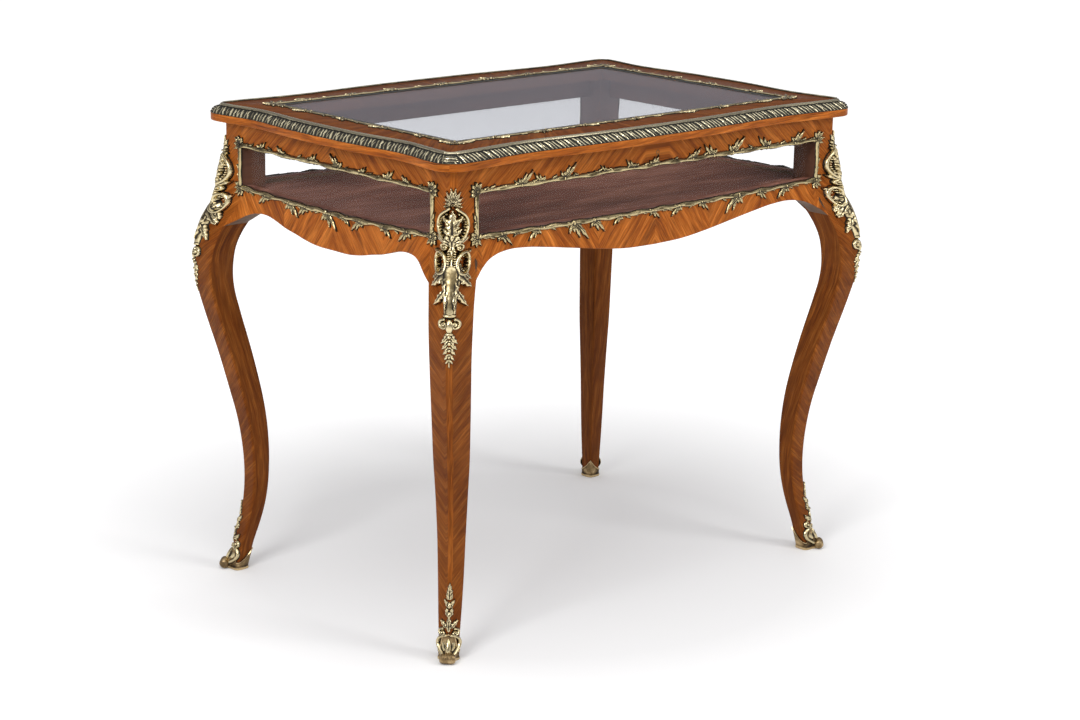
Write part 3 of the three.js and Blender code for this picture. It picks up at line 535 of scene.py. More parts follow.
def makeVeneer(name, tilt, chevron=False, brightness=1.0, leafWidth=0.0, paintedLowShade=1.0):
    # tilt is the grain's angle from the piece's width, in degrees; leafWidth cuts it in leaves
    # and the last argument paints shade down the legs, so that the wood is darker towards the foot
    look = veneer
    material, tree, shader = newMaterial(name)
    uv = addNode(tree, "ShaderNodeUVMap", uv_map="grain").outputs[0]
    parts = addNode(tree, "ShaderNodeSeparateXYZ", {0: uv}).outputs
    across, along = parts[0], parts[1]
    leafNumber = 0.0
    if leafWidth:      # each leaf mirrors its neighbour
        leafNumber = maths(tree, "FLOOR", maths(tree, "DIVIDE", across, leafWidth))
        across = maths(tree, "PINGPONG", across, leafWidth)
    if chevron:
        across = maths(tree, "ABSOLUTE", across)
    cos, sin = math.cos(math.radians(tilt)), math.sin(math.radians(tilt))
    x = maths(tree, "ADD", maths(tree, "MULTIPLY", across, cos), maths(tree, "MULTIPLY", along, sin))
    y = maths(tree, "SUBTRACT", maths(tree, "MULTIPLY", along, cos), maths(tree, "MULTIPLY", across, sin))
    deep = maths(tree, "MULTIPLY", leafNumber, look["leafShift"])
    place = addNode(tree, "ShaderNodeCombineXYZ", {0: x, 1: y, 2: deep}).outputs[0]
    figure = useGroup(tree, figureGroup, {"Place": place})
    wear = useGroup(tree, wearGroup, {"Scale": look["wearScale"]})
    shades = [tuple(c * brightness for c in look[key]) for key in ("deep", "middle", "bright")]
    base = ramp(tree, ranged(tree, figure["Tone"], *look["toneRange"]), list(zip(look["toneStops"], shades)))
    streaks = ranged(tree, figure["Streak"], *look["streakRange"])
    # painted shade: the wood darkens towards the foot of the legs
    paintedShade = ranged(tree, along, look["shadeTo"], look["shadeFrom"], paintedLowShade, 1.0)
    base = shaded(tree, base, maths(tree, "MULTIPLY", streaks, paintedShade))
    vein, rubbed = look["vein"], (*shades[2], 1)
    for mask, share, colour in (
        (figure["Vein"], "veinShare", vein), (figure["Pore"], "poreShare", vein),
        (wear["Rubbed"], "rubbedShare", rubbed),
    ):
        base = mixed(tree, maths(tree, "MULTIPLY", mask, look[share]), base, colour)
    height = maths(tree, "MULTIPLY", figure["Streak"], look["streakHeight"])
    height = maths(tree, "SUBTRACT", height, figure["Pore"])
    setInputs(tree, shader, {
        "Base Color": base, "Specular IOR Level": look["specular"], "Coat Roughness": look["coatRoughness"],
        "Roughness": maths(tree, "MULTIPLY_ADD", wear["Dull"], look["dullRoughness"], look["roughness"]),
        "Coat Weight": maths(tree, "MULTIPLY_ADD", wear["Dull"], look["dullCoat"], look["coat"], True),
        "Normal": bumped(tree, height, *look["bump"])})
    return material


# caseVeneer and stripVeneer darken down the legs: painted shade
caseVeneer = makeVeneer("caseVeneer", 42, chevron=True, brightness=0.96, paintedLowShade=0.58)
stripVeneer = makeVeneer("stripVeneer", 88, brightness=1.1, paintedLowShade=0.62)
# a darker copy of the veneer for the legs' inward faces: painted shade
shadedInnerVeneer = makeVeneer("shadedInnerVeneer", 86, brightness=0.5)
apronVeneer = makeVeneer("apronVeneer", 128, brightness=1.15, leafWidth=0.118)
lidVeneer = makeVeneer("lidVeneer", 3, brightness=0.44)
# a brighter copy of the veneer for the lid's outer edge: painted light
litFilletVeneer = makeVeneer("litFilletVeneer", 88, brightness=1.2)

plainWood = {
    "stretch": (6, 90, 90), "darkShare": 0.55, "stops": (0.3, 0.7), "wearScale": 9.0, "dull": 0.2,
    "bump": (0.2, 0.0004),
}


def makePlainWood(name, colour, roughness):
    look = plainWood
    material, tree, shader = newMaterial(name)
    grain = stretchedNoise(tree, ownPlace(tree), look["stretch"], 5.0, 0.6)
    dark = tuple(c * look["darkShare"] for c in colour)
    wear = useGroup(tree, wearGroup, {"Scale": look["wearScale"]})
    setInputs(tree, shader, {
        "Base Color": ramp(tree, grain, list(zip(look["stops"], (dark, colour)))),
        "Roughness": maths(tree, "MULTIPLY_ADD", wear["Dull"], look["dull"], roughness),
        "Normal": bumped(tree, grain, *look["bump"])})
    return material


carcaseWood = makePlainWood("carcaseWood", (0.16, 0.085, 0.045), 0.6)
stainedWood = makePlainWood("stainedWood", (0.125, 0.044, 0.020), 0.5)
# colour of the dark strip on the lid glass: painted shade along the glass's edge
paintedEdgeShade = makePlainWood("paintedEdgeShade", (0.030, 0.036, 0.030), 0.35)

brass = {
    "patchScale": 60.0, "patchRange": (0.35, 0.7), "patchSpread": 0.3, "cavityShare": 1.1,
    "stops": (0.06, 0.36, 0.78), "metalRange": (0.55, 1.0, 1.0, 0.45), "dirtRoughness": 0.3,
    "smearScale": 420.0, "smear": 0.1, "fineScale": 700.0, "bump": (0.25, 0.0003),
}


def makeCastBrass(name, bright, worn, dirt, roughness, darkness):
    # gilt casting: bright where it is rubbed, brown in the hollows
    look = brass
    material, tree, shader = newMaterial(name)
    cavity = addNode(tree, "ShaderNodeAttribute", attribute_name="cavity").outputs["Fac"]
    place = ownPlace(tree)
    spread = darkness - look["patchSpread"], darkness + look["patchSpread"]
    patch = ranged(tree, noise(tree, place, look["patchScale"]), *look["patchRange"], *spread)
    grime = maths(tree, "MULTIPLY_ADD", cavity, look["cavityShare"], patch, True)
    rough = ranged(tree, grime, 0.0, 1.0, roughness, roughness + look["dirtRoughness"])
    smears = noise(tree, place, look["smearScale"], 3.0)
    setInputs(tree, shader, {
        "Base Color": ramp(tree, grime, list(zip(look["stops"], (bright, worn, dirt)))),
        "Metallic": ranged(tree, grime, *look["metalRange"]),
        "Roughness": maths(tree, "MULTIPLY_ADD", smears, look["smear"], rough),
        "Normal": bumped(tree, noise(tree, place, look["fineScale"], 3.0), *look["bump"])})
    return material


brasses = {      # bright, worn and dirty colours, roughness and darkness
    "giltBrass": ((0.62, 0.52, 0.31), (0.21, 0.16, 0.08), (0.020, 0.014, 0.008), 0.2, 0.5),
    "bandBrass": ((0.56, 0.50, 0.34), (0.10, 0.088, 0.055), (0.014, 0.013, 0.010), 0.2, 0.72),
    "frameBrass": ((0.50, 0.41, 0.22), (0.125, 0.095, 0.046), (0.016, 0.012, 0.008), 0.18, 0.68),
    "shoeBrass": ((0.64, 0.48, 0.26), (0.30, 0.205, 0.10), (0.036, 0.022, 0.012), 0.26, 0.40),
}
giltBrass, bandBrass, frameBrass, shoeBrass = (
    makeCastBrass(name, *values) for name, values in brasses.items())

steel = {"dark": (0.22, 0.21, 0.20, 1), "rubbed": (0.42, 0.41, 0.40, 1), "roughness": 0.45, "wearScale": 40.0}


def makeSteel():
    material, tree, shader = newMaterial("wornSteel")
    wear = useGroup(tree, wearGroup, {"Scale": steel["wearScale"]})
    setInputs(tree, shader, {
        "Metallic": 1.0, "Roughness": steel["roughness"],
        "Base Color": mixed(tree, wear["Rubbed"], steel["dark"], steel["rubbed"])})
    return material


def makeGlass(name, tint, shadowPass, bending):
    material, tree, shader = newMaterial(name)
    path = addNode(tree, "ShaderNodeLightPath").outputs
    setInputs(tree, shader, {
        "Base Color": (*tint, 1), "Roughness": 0.0, "IOR": bending, "Transmission Weight": 1.0,
        "Alpha": maths(tree, "MULTIPLY_ADD", path["Is Shadow Ray"], -shadowPass, 1.0)})
    return material


velvet = {
    "crushed": ((5, 22, 1), 6.0, 0.65), "crushedRange": (0.32, 0.68), "pile": (900.0, 3.0, 0.7),
    "speckle": (0.3, 0.7, 0.75, 1.2), "bump": (0.5, 0.0006),
    "stops": ((0.0, (0.058, 0.021, 0.014)), (0.5, (0.122, 0.044, 0.028)), (1.0, (0.23, 0.098, 0.064))),
    "plain": {"Roughness": 0.95, "Specular IOR Level": 0.1, "Sheen Weight": 0.12, "Sheen Roughness": 0.5,
              "Sheen Tint": (0.85, 0.5, 0.42, 1)},
}


def makeVelvet():
    look = velvet
    material, tree, shader = newMaterial("wornVelvet")
    place = ownPlace(tree)
    crushed = ranged(tree, stretchedNoise(tree, place, *look["crushed"]), *look["crushedRange"])
    pile = noise(tree, place, *look["pile"])
    base = shaded(tree, ramp(tree, crushed, look["stops"]), ranged(tree, pile, *look["speckle"]))
    normal = bumped(tree, pile, *look["bump"])
    setInputs(tree, shader, {**look["plain"], "Base Color": base, "Normal": normal})
    return material


wornSteel = makeSteel()
caseGlass = makeGlass("caseGlass", (0.98, 0.985, 0.985), 0.95, 1.1)
plateGlass = makeGlass("plateGlass", (0.93, 0.96, 0.995), 0.88, 1.3)
wornVelvet = makeVelvet()
print("materials made")


# Legs: smooth skins through the solid legs' own sections
legLook = {
    "sectionTop": 620 * mm, "level": 0.02 * mm, "leastWidth": 15 * mm, "ringStep": 4 * mm,
    "shoulderRings": 14, "arrisRound": 1.4 * mm, "cornerRound": 3 * mm, "jointRound": 0.4 * mm,
    "roundHeights": (540 * mm, 580 * mm), "cornerPoints": 4, "facePoints": 5, "kneeGap": 1 * mm,
}


def legSections():
    look, mesh = legLook, nodes["leg_front_left"].data
    places = np.zeros(len(mesh.vertices) * 3)
    mesh.vertices.foreach_get("co", places)
    places = places.reshape(-1, 3)
    rows = []
    for z in np.unique(places[:, 2].round(5)):
        if z < look["sectionTop"]:
            ring = places[np.abs(places[:, 2] - z) < look["level"]] + [friezeHalfX, friezeHalfY, 0]
            inner = ring[ring[:, 1] > ring[:, 1].mean(), 0]      # the corner's swelling is left out
            width = inner.max() - inner.min()
            if width > look["leastWidth"]:      # and so are the mortises' corners
                rows.append((z, -inner.min(), width))
    rows.append((plan["kneeTop"], 0.0, plan["post"]))
    return np.array(rows).T


legHeights, legReaches, legWidths = legSections()


def legReach(z):
    return curve(np.minimum(z, plan["kneeTop"]), legHeights, legReaches)


def legWidth(z):
    return curve(np.minimum(z, plan["kneeTop"]), legHeights, legWidths)


def legSwell(z):
    off = z - plan["kneeTop"]
    off = np.clip(off / np.where(off > 0, plan["swellRise"], plan["swellDrop"]), -1, 1)
    return plan["swell"] * np.cos(off * math.pi / 2) ** 2


def roundedRing(corners, radii, count):
    points = []
    for i, (corner, radius) in enumerate(zip(corners, radii)):
        back = np.subtract(corners[i - 1], corner)
        ahead = np.subtract(corners[(i + 1) % len(corners)], corner)
        back, ahead = back / np.hypot(*back), ahead / np.hypot(*ahead)
        cut = radius / math.tan(math.acos(np.clip(np.dot(back, ahead), -1, 1)) / 2)
        start, end = corner + back * cut, corner + ahead * cut
        for t in np.linspace(0, 1, count):
            points.append((1 - t) ** 2 * start + 2 * t * (1 - t) * np.array(corner) + t ** 2 * end)
    return np.array(points)


def legRing(z):
    # outline of a leg at a height, corner axes, with its canted corner swelling out at the knee
    reach, width, swell = float(legReach(z)), float(legWidth(z)), float(legSwell(z))
    start, end, cant = -reach, -reach + width, plan["arrisShare"] * width
    arris, count = legLook["arrisRound"], legLook["cornerPoints"]
    corner = float(np.interp(z, legLook["roundHeights"], [legLook["cornerRound"], legLook["jointRound"]]))
    corners = [(start + cant, start), (end, start), (end, end), (start, end), (start, start + cant)]
    ring = roundedRing(corners, [arris, corner, corner, corner, arris], count)
    root = plan["swellRoot"] * width
    face = start + np.linspace(cant, root, legLook["facePoints"] + 1)[1:]
    fixed = np.full(len(face), start)
    ring = np.vstack([ring[:count], np.stack([face, fixed], 1), ring[count:4 * count],
                      np.stack([fixed, face[::-1]], 1), ring[4 * count:]])
    t, q = (ring - start).T
    weight = np.clip((root - np.maximum(t, q)) / (root - cant), 0, 1)
    turned = np.clip(((q - t) / cant + 1) / 2, 0, 1)
    spread = 1 - plan["swellInner"]
    shift = np.stack([plan["swellInner"] + spread * turned, 1 - spread * turned], 1)
    return ring - shift * (swell * weight)[:, None], cant


def makeLeg(quarter, name):
    knee, count, faces = plan["kneeTop"], legLook["cornerPoints"], legLook["facePoints"]
    shoulder = np.linspace(knee, knee + plan["swellRise"], legLook["shoulderRings"])
    lower = np.arange(legFoot, knee - legLook["kneeGap"], legLook["ringStep"])
    zs = np.concatenate([lower, shoulder, [caseTop]])
    rings, uvs = [], []
    for z in zs:
        ring, cant = legRing(z)
        closed = np.vstack([ring, ring[:1]])
        walked = np.concatenate([[0], np.cumsum(np.hypot(*np.diff(closed, axis=0).T))])
        # both outer faces are measured from the canted strip, so that the figure mirrors
        secondHalf = np.arange(len(closed)) >= 2.5 * count + faces
        across = np.where(secondHalf, walked - walked[-1] + math.sqrt(2) * cant, walked)
        uvs.append(np.stack([across + cant, np.full(len(across), z)], 1))
        rings.append(np.column_stack([ring, np.full(len(ring), z)]))
    # columns, corner by corner: the rounding, then the face that follows it
    roundings, followers, widths = (1, 0, 2, 0, 1), (0, 2, 2, 0, 1), (faces + 1, 1, 1, faces + 1, 1)
    index = [kind for r, f, w in zip(roundings, followers, widths) for kind in [r] * (count - 1) + [f] * w]
    index = np.tile(index, (len(zs) - 1, 1))
    inside = (np.arange(len(zs) - 1) >= len(lower))[:, None] & (index == 2)
    index = np.where(inside, 3, index)
    points = cornerPlace(np.array(rings), quarter)
    # the inward faces below the knee take the darker copy of the veneer: painted shade
    materials = [caseVeneer, stripVeneer, shadedInnerVeneer, stainedWood]
    piece = loftPiece("legWood_" + name, points, np.array(uvs), materials, index, 2)
    finishPiece(piece, "table", "kingwood", "leg_" + name)


for quarter, name in enumerate(cornerNames):
    makeLeg(quarter, name)
print("legs made")


# Rails and aprons, each made as the front one and turned
def sideLoft(name, side, rings, uvs, materials, columns, cap, body, slot, replaced):
    points = quarterTurn(rings, side["quarter"])
    finishPiece(loftPiece(name, points, uvs, materials, columns, cap), body, slot, replaced)


railLook = {"endGap": 0.05 * mm, "ease": 0.8 * mm, "sections": 9, "recessStep": 0.1 * mm}


def makeRail(side):
    end = side["half"] - plan["post"] + railLook["endGap"]
    face, back, ease = -side["reach"], -side["reach"] + plan["railThickness"], railLook["ease"]
    section = [(face, paneTop + ease), (face, caseTop - ease), (face + ease, caseTop), (back - ease, caseTop),
               (back, caseTop - ease), (back, paneTop + ease), (back - ease, paneTop), (face + ease, paneTop)]
    xs = np.linspace(-end, end, railLook["sections"])
    sections = [section] * len(xs)
    if side["quarter"] == 0:      # the lock is let in from the back
        low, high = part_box("lock_case")
        letIn = section[:3] + [(low.y, caseTop), (low.y, low.z), (back, low.z)] + section[6:]
        edges = np.array([-high.x - railLook["recessStep"], -high.x, high.x, high.x + railLook["recessStep"]])
        xs = np.concatenate([xs[:4], edges, xs[5:]])
        sections = [section] * 5 + [letIn] * 2 + [section] * 5
    rings = np.array([[(x, y, z) for y, z in outline] for x, outline in zip(xs, sections)])
    # the figure is measured from the nearer corner, as on the posts, and mirrors in the middle
    uvs = np.array([[(side["half"] - abs(x), z) for y, z in section + section[:1]] for x in xs])
    sideLoft("railWood_" + side["name"], side, rings, uvs, [caseVeneer, stainedWood, carcaseWood],
             [0, 0, 2, 2, 1, 1, 1, 1], 2, "table", "kingwood", "top_rail_" + side["name"])


apronShape = {      # lower edge: shares of the half length, then of the depth, as the solids'
    True: {"depth": 60 * mm, "edge": (
        (0, 0.16, 0.306, 0.457, 0.603, 0.724, 0.835, 0.905, 0.935, 0.96, 0.98, 1),
        (1, 0.971, 0.867, 0.725, 0.592, 0.498, 0.473, 0.54, 0.61, 0.713, 0.827, 0.99))},
    False: {"depth": 63 * mm, "edge": (
        (0, 0.17, 0.27, 0.38, 0.49, 0.6, 0.7, 0.775, 0.84, 0.88, 0.925, 1),
        (1, 0.99, 0.938, 0.851, 0.773, 0.659, 0.584, 0.579, 0.619, 0.689, 0.819, 1.02))},
    "glassLine": 9.5 * mm, "flareFrom": 0.7, "columns": 110, "rows": 12, "ease": 1.2 * mm,
    "endGap": 0.1 * mm, "topGap": 0.2 * mm, "figureShift": 0.7,
}


def apronBulge(near, z):
    return legReach(z) * smoothstep(near, apronShape["flareFrom"], 1)


def paneSill(side, x):
    share = np.clip(x / (side["half"] - plan["post"]), -1, 1)
    return plan["paneBottom"] - side["bow"] * (1 - share ** 2)


def makeApron(side):
    shape, rows, ease = apronShape[side["long"]], apronShape["rows"], apronShape["ease"]
    face, back = -side["reach"], -side["reach"] + plan["railThickness"]
    rings = []
    for place in np.sin((np.linspace(0, 1, apronShape["columns"] + 1) - 0.5) * math.pi):
        near = abs(place)
        bottom = plan["paneBottom"] - float(curve(near, *shape["edge"])) * shape["depth"]
        levels = np.concatenate([[bottom], np.linspace(bottom + ease, plan["kneeTop"], rows)])
        ends = place * (side["half"] + legReach(levels) - legWidth(levels) + apronShape["endGap"])
        outs = face - apronBulge(near, levels)
        outs[0] += ease
        top = float(paneSill(side, place * (side["half"] - plan["post"]))) - apronShape["topGap"]
        topX = place * (side["half"] - plan["post"] + apronShape["endGap"])
        lined = face + apronShape["glassLine"]
        rings.append(list(zip(ends, outs, levels)) + [
            (topX, face, top), (topX, lined, top), (topX, back, top), (ends[0], back, bottom)])
    rings = np.array(rings)
    closed = np.concatenate([rings, rings[:, :1]], 1)
    uvs = closed[..., [0, 2]] + [0, apronShape["figureShift"] * side["quarter"]]
    index = [0] * (rows + 1) + [2, 3, 1, 1]
    materials = [apronVeneer, carcaseWood, stainedWood, wornVelvet]
    sideLoft("apronWood_" + side["name"], side, rings, uvs, materials, index, 1,
             "table", "kingwood", "apron_" + side["name"])


for side in sides:
    makeRail(side)
    makeApron(side)
print("rails and aprons made")


# Lid: stations run along an edge from mitre to mitre, as the solids' do
lidShape = {
    "cornerRadius": 30 * mm, "hollow": 9.5 * mm, "hollowShare": 0.65, "border": 91 * mm, "bearing": 12 * mm,
    "bandRun": 18 * mm, "bandLip": 2 * mm, "stationStep": 4 * mm, "ease": 1.6 * mm, "boltSlot": 6.4 * mm,
    "boltRoom": 0.5 * mm, "scribed": 0.2 * mm, "figureShift": 1.7,
}


def lidStations(side, step):
    radius = lidShape["cornerRadius"]
    straight = side["lidHalf"] - radius
    power = math.log(0.5) / math.log(lidShape["hollowShare"])
    turns = np.linspace(math.pi / 4, 0, max(3, int(radius * math.pi / 4 / step)) + 1)[:-1]
    x = np.linspace(-straight, straight, int(2 * straight / step) + 1)
    hollow = lidShape["hollow"] * np.sin(math.pi * np.abs(x / straight) ** power) ** 2
    reach = -side["lidReach"]
    left = np.stack([-straight - radius * np.sin(turns), reach + radius - radius * np.cos(turns)], 1)
    middle = np.stack([x, reach + hollow], 1)
    inLeft = np.stack([np.sin(turns), np.cos(turns)], 1)
    inMiddle = np.stack([np.zeros(len(x)), np.ones(len(x))], 1)
    edge = np.concatenate([left, middle, left[::-1] * [-1, 1]])
    return edge, np.concatenate([inLeft, inMiddle, inLeft[::-1] * [-1, 1]])


def makeLidBoard(side):
    edge, inward = lidStations(side, lidShape["stationStep"])
    share = edge[:, 0] / abs(edge[0, 0])
    ease, bearing = lidShape["ease"], lidShape["bearing"] + plan["gap"]
    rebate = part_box("lid_glass")[0].z - plan["gap"]

    def outer(inset, z):
        return np.column_stack([edge + inward * inset, np.full(len(edge), z)])

    def inner(margin, z):
        end = side["lidHalf"] - lidShape["border"] + margin
        y = -side["lidReach"] + lidShape["border"] - margin
        return np.column_stack([share * end, np.full(len(edge), y), np.full(len(edge), z)])

    columns = [outer(ease, lidUnderside), outer(ease * 0.3, lidUnderside + ease * 0.3),
               outer(0, lidUnderside + ease), outer(0, plan["filletTop"]),
               outer(lidShape["bandRun"], boardTop), inner(bearing, boardTop), inner(bearing, rebate),
               inner(0, rebate), inner(0, lidUnderside)]
    index = [0, 0, 0, 1, 1, 1, 2, 2, 2]
    if side["quarter"] == 0:      # slot for the lock's bolt, with a fine scribed line on each side of it
        low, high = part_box("lock_bolt")
        atBolt = np.abs(edge[:, 0]) < high.x + lidShape["stationStep"]
        flat = np.full(len(edge), lidUnderside)
        top = flat + np.where(atBolt, lidShape["boltSlot"], lidShape["scribed"])
        near, far = low.y - lidShape["boltRoom"], high.y + lidShape["boltRoom"]
        for y, level in ((far, flat), (far, top), (near, top), (near, flat)):
            end = side["lidHalf"] - side["lidReach"] - y
            columns.append(np.column_stack([share * end, np.full(len(edge), y), level]))
            index.append(2)
    rings = np.stack(columns, 1)
    lengths = [np.linalg.norm(b - a, axis=1).mean() for a, b in zip(columns, columns[1:] + columns[:1])]
    walked = np.concatenate([[0], np.cumsum(lengths)])
    along = edge[:, 0] + lidShape["figureShift"] * side["quarter"]
    uvs = np.stack([np.column_stack([np.full(len(edge), w), along]) for w in walked], 1)
    sideLoft("lidWood_" + side["name"], side, rings, uvs, [litFilletVeneer, lidVeneer, stainedWood], index, 1,
             "lid", "kingwood", "lid_board_" + side["name"])


for side in sides:
    makeLidBoard(side)
print("lid boards made")


# Cast band on the sloped edge: a row of slanted leaves and a plain lip along its inner side
bandLook = {
    "step": 0.9 * mm, "across": 24, "pitch": 7.6 * mm, "slant": 0.9, "rise": 3.4 * mm, "ground": 0.3 * mm,
    "crestShare": 0.24, "hollowShare": 0.08, "uneven": 0.16, "lowLeaf": 0.3, "leafShare": 0.66,
    "lipRise": 2.8 * mm, "lipMiddle": 0.84, "lipHalf": 0.13, "cornerRun": 16 * mm, "cornerRise": 4 * mm,
    "cornerLow": 0.8, "cornerRipple": 0.3, "cornerRipples": 4, "slantPower": 0.8, "crestPower": 0.9,
    "leafEdge": 0.06, "cornerEdge": 0.02,
}


def bandHeight(s, w, half):
    # each leaf has a sharp bright edge and a deep hollow behind it
    look = bandLook
    place = s / (2 * half) * round(2 * half / look["pitch"])
    lane = np.clip(w / look["leafShare"], 0, 1)
    leaning = place + look["slant"] * lane ** look["slantPower"]
    phase = (leaning + look["uneven"] * np.sin(1.9 * np.floor(place)) * np.sin(math.pi * lane)) % 1
    top, last = look["crestShare"], 1 - look["hollowShare"]
    crest = np.where(phase < top, phase / top, np.clip((last - phase) / (last - top), 0, 1))
    crest **= look["crestPower"]
    tall = 1 - look["lowLeaf"] + look["lowLeaf"] * np.sin(2.7 * np.floor(leaning))
    arch = np.sin(math.pi * (look["leafEdge"] + (1 - 2 * look["leafEdge"]) * lane)) ** 0.5
    height = look["ground"] + look["rise"] * crest * tall * arch
    lip = look["lipRise"] * np.sqrt(np.clip(1 - ((w - look["lipMiddle"]) / look["lipHalf"]) ** 2, 0, 1))
    height = np.maximum(np.where(w < look["leafShare"], height, look["ground"]), lip)
    end = np.clip((half - np.abs(s)) / look["cornerRun"], 0, 1)
    arch = np.sin(math.pi * np.clip(lane, look["cornerEdge"], 1 - look["cornerEdge"])) ** 0.6
    corner = look["cornerRise"] * np.sqrt(1 - end ** 2) * arch
    ripple = look["cornerRipple"]
    corner *= 1 - ripple + ripple * np.cos(2 * math.pi * look["cornerRipples"] * lane)
    return np.where(end < 1, np.maximum(height * look["cornerLow"], corner), height)


def makeEdgeBand(side):
    edge, inward = lidStations(side, bandLook["step"])
    walked = np.concatenate([[0], np.cumsum(np.hypot(*np.diff(edge, axis=0).T))])
    walked -= walked[-1] / 2
    across = np.linspace(0, 1, bandLook["across"])
    s, w = np.meshgrid(walked, across, indexing="ij")
    relief = {"u": walked, "v": across, "height": bandHeight(s, w, walked[-1])}
    low, high, run = plan["filletTop"] + plan["gap"], boardTop + plan["gap"], lidShape["bandRun"]
    tilt = math.atan2(high - low, run)

    def place(u, v, h):
        onEdge = np.stack([np.interp(u, walked, edge[:, k]) for k in (0, 1)], -1)
        wayIn = np.stack([np.interp(u, walked, inward[:, k]) for k in (0, 1)], -1)
        wayIn /= np.linalg.norm(wayIn, axis=-1, keepdims=True)
        inset = v * (run + lidShape["bandLip"])
        z = low + (high - low) * np.minimum(inset / run, 1)
        lean = np.where(inset < run, math.sin(tilt), 0)
        points = np.column_stack([onEdge + wayIn * (inset - lean * h)[:, None], z + math.cos(tilt) * h])
        return quarterTurn(points, side["quarter"])

    name = side["name"]
    castPiece("bandCasting_" + name, relief, place, bandBrass, 0.0, "lid", "edge_band_" + name)


for side in sides:
    makeEdgeBand(side)
print("edge bands made")


# Garland round the lid's glass, and the frames round the side panes
flourishShape = {      # flames: turn from straight out, length and bend; leaves on the rod: way and length
    "flames": ((64, 1.7, 0.3), (40, 1.15, 0.2), (8, 0.6, 0.1), (-42, 0.75, -0.2)),
    "flameWidths": (0.22, 0.12), "lying": ((-1, 2.0), (1, 1.3)), "lyingWidth": 6.4 * mm, "lyingRise": 0.95,
    "bud": 0.2, "budRise": 1.15,
}


def flourish(relief, root, outward, lean, size, rise):
    # flames that sprout from the rod and lean along it, with leaves lying on it and a bud
    look = flourishShape
    least, more = look["flameWidths"]
    for turn, share, bend in look["flames"]:
        angle = outward - lean * math.radians(turn)
        leaf(relief, root, angle, size * share, size * (least + more * share), rise, bend=lean * bend)
    for way, share in look["lying"]:
        angle = outward + lean * way * math.pi / 2
        leaf(relief, root, angle, size * share, look["lyingWidth"], rise * look["lyingRise"])
    bead(relief, root, size * look["bud"], rise * look["budRise"])


twigShape = {      # each middle value with the share by which leaves differ from it
    "place": (0.3, 0.3), "turn": (0.3, 0.16), "size": (0.85, 0.25), "rise": (0.8, 0.15), "bend": 0.12,
}


def leafyTwig(relief, start, end, outward, look):
    # small leaves that hug a rod, turned to one side and the other
    start, end = np.array(start), np.array(end)
    length, step = float(np.hypot(*(end - start))), look["leafStep"]
    along = math.atan2(*(end - start)[::-1])

    def uneven(key, wave):
        middle, reach = twigShape[key]
        return middle + reach * math.sin(wave)

    first, shift = twigShape["place"]
    for k, t in enumerate(np.arange(first, length / step)):
        spot = start + (end - start) * min((t + shift * math.sin(5 * t)) * step / length, 1)
        way = 1 if math.sin(2.3 * k) > -0.4 else -1
        turn = along + (0 if way > 0 else math.pi) + way * outward * uneven("turn", 3 * k)
        size, rise = look["leafSize"] * uneven("size", 1.7 * k), look["leafRise"] * uneven("rise", 2.1 * k)
        leaf(relief, spot, turn, size, look["leafWidth"], rise, 2, twigShape["bend"] * way * outward)


rodShape = {"step": 6 * mm, "swayWave": 17 * mm, "knotWave": 9 * mm, "knot": 0.25, "flat": 0.45}


def wavyRod(relief, start, end, look):
    # twig between two places: it sways, and thickens where leaves grow
    start, end = np.array(start), np.array(end)
    length = float(np.hypot(*(end - start)))
    t = np.linspace(0, 1, max(4, int(length / rodShape["step"])) + 1)
    aside = np.array([start[1] - end[1], end[0] - start[0]]) / length
    sway = look["sway"] * np.sin(t * length / rodShape["swayWave"] + 40 * start[0]) * np.sin(math.pi * t)
    path = start + t[:, None] * (end - start) + sway[:, None] * aside
    radii = look["rodWidth"] / 2 * (1 + rodShape["knot"] * np.sin(t * length / rodShape["knotWave"] + 2))
    tube(relief, path, radii, look["rodRise"], flat=rodShape["flat"])


glassMountLook = {
    "step": 0.85 * mm, "width": 16 * mm, "line": 6.5 * mm, "rodWidth": 5 * mm, "rodRise": 2.4 * mm,
    "sway": 1.4 * mm, "leafRise": 3.4 * mm, "leafStep": 13 * mm, "leafSize": 15 * mm, "leafWidth": 5.4 * mm,
    # the lip is the dark strip on the glass inside the garland: painted shade
    "margin": 6 * mm, "edgeShadeWidth": 6 * mm, "lipRise": 0.8 * mm, "edgeShadeFlat": 0.3, "sprigSize": 12 * mm,
    "sprigLeaf": (0.9, 4.6 * mm, 0.8), "sprigTurn": 0.5,
    # places of the sprigs along the long sides, then the short ones
    "sprigs": ((-0.78, -0.5, -0.27, 0.03, 0.31, 0.56, 0.8), (-0.62, -0.2, 0.24, 0.64)),
    "cornerLeaves": ((0, 0.85), (38, 0.8), (88, 1.2), (128, 1.5)), "cornerSize": 19 * mm,
    "cornerWidth": 7.5 * mm, "cornerBend": 0.1, "cornerBead": 3.2 * mm, "cornerBeadRise": 1.1,
}


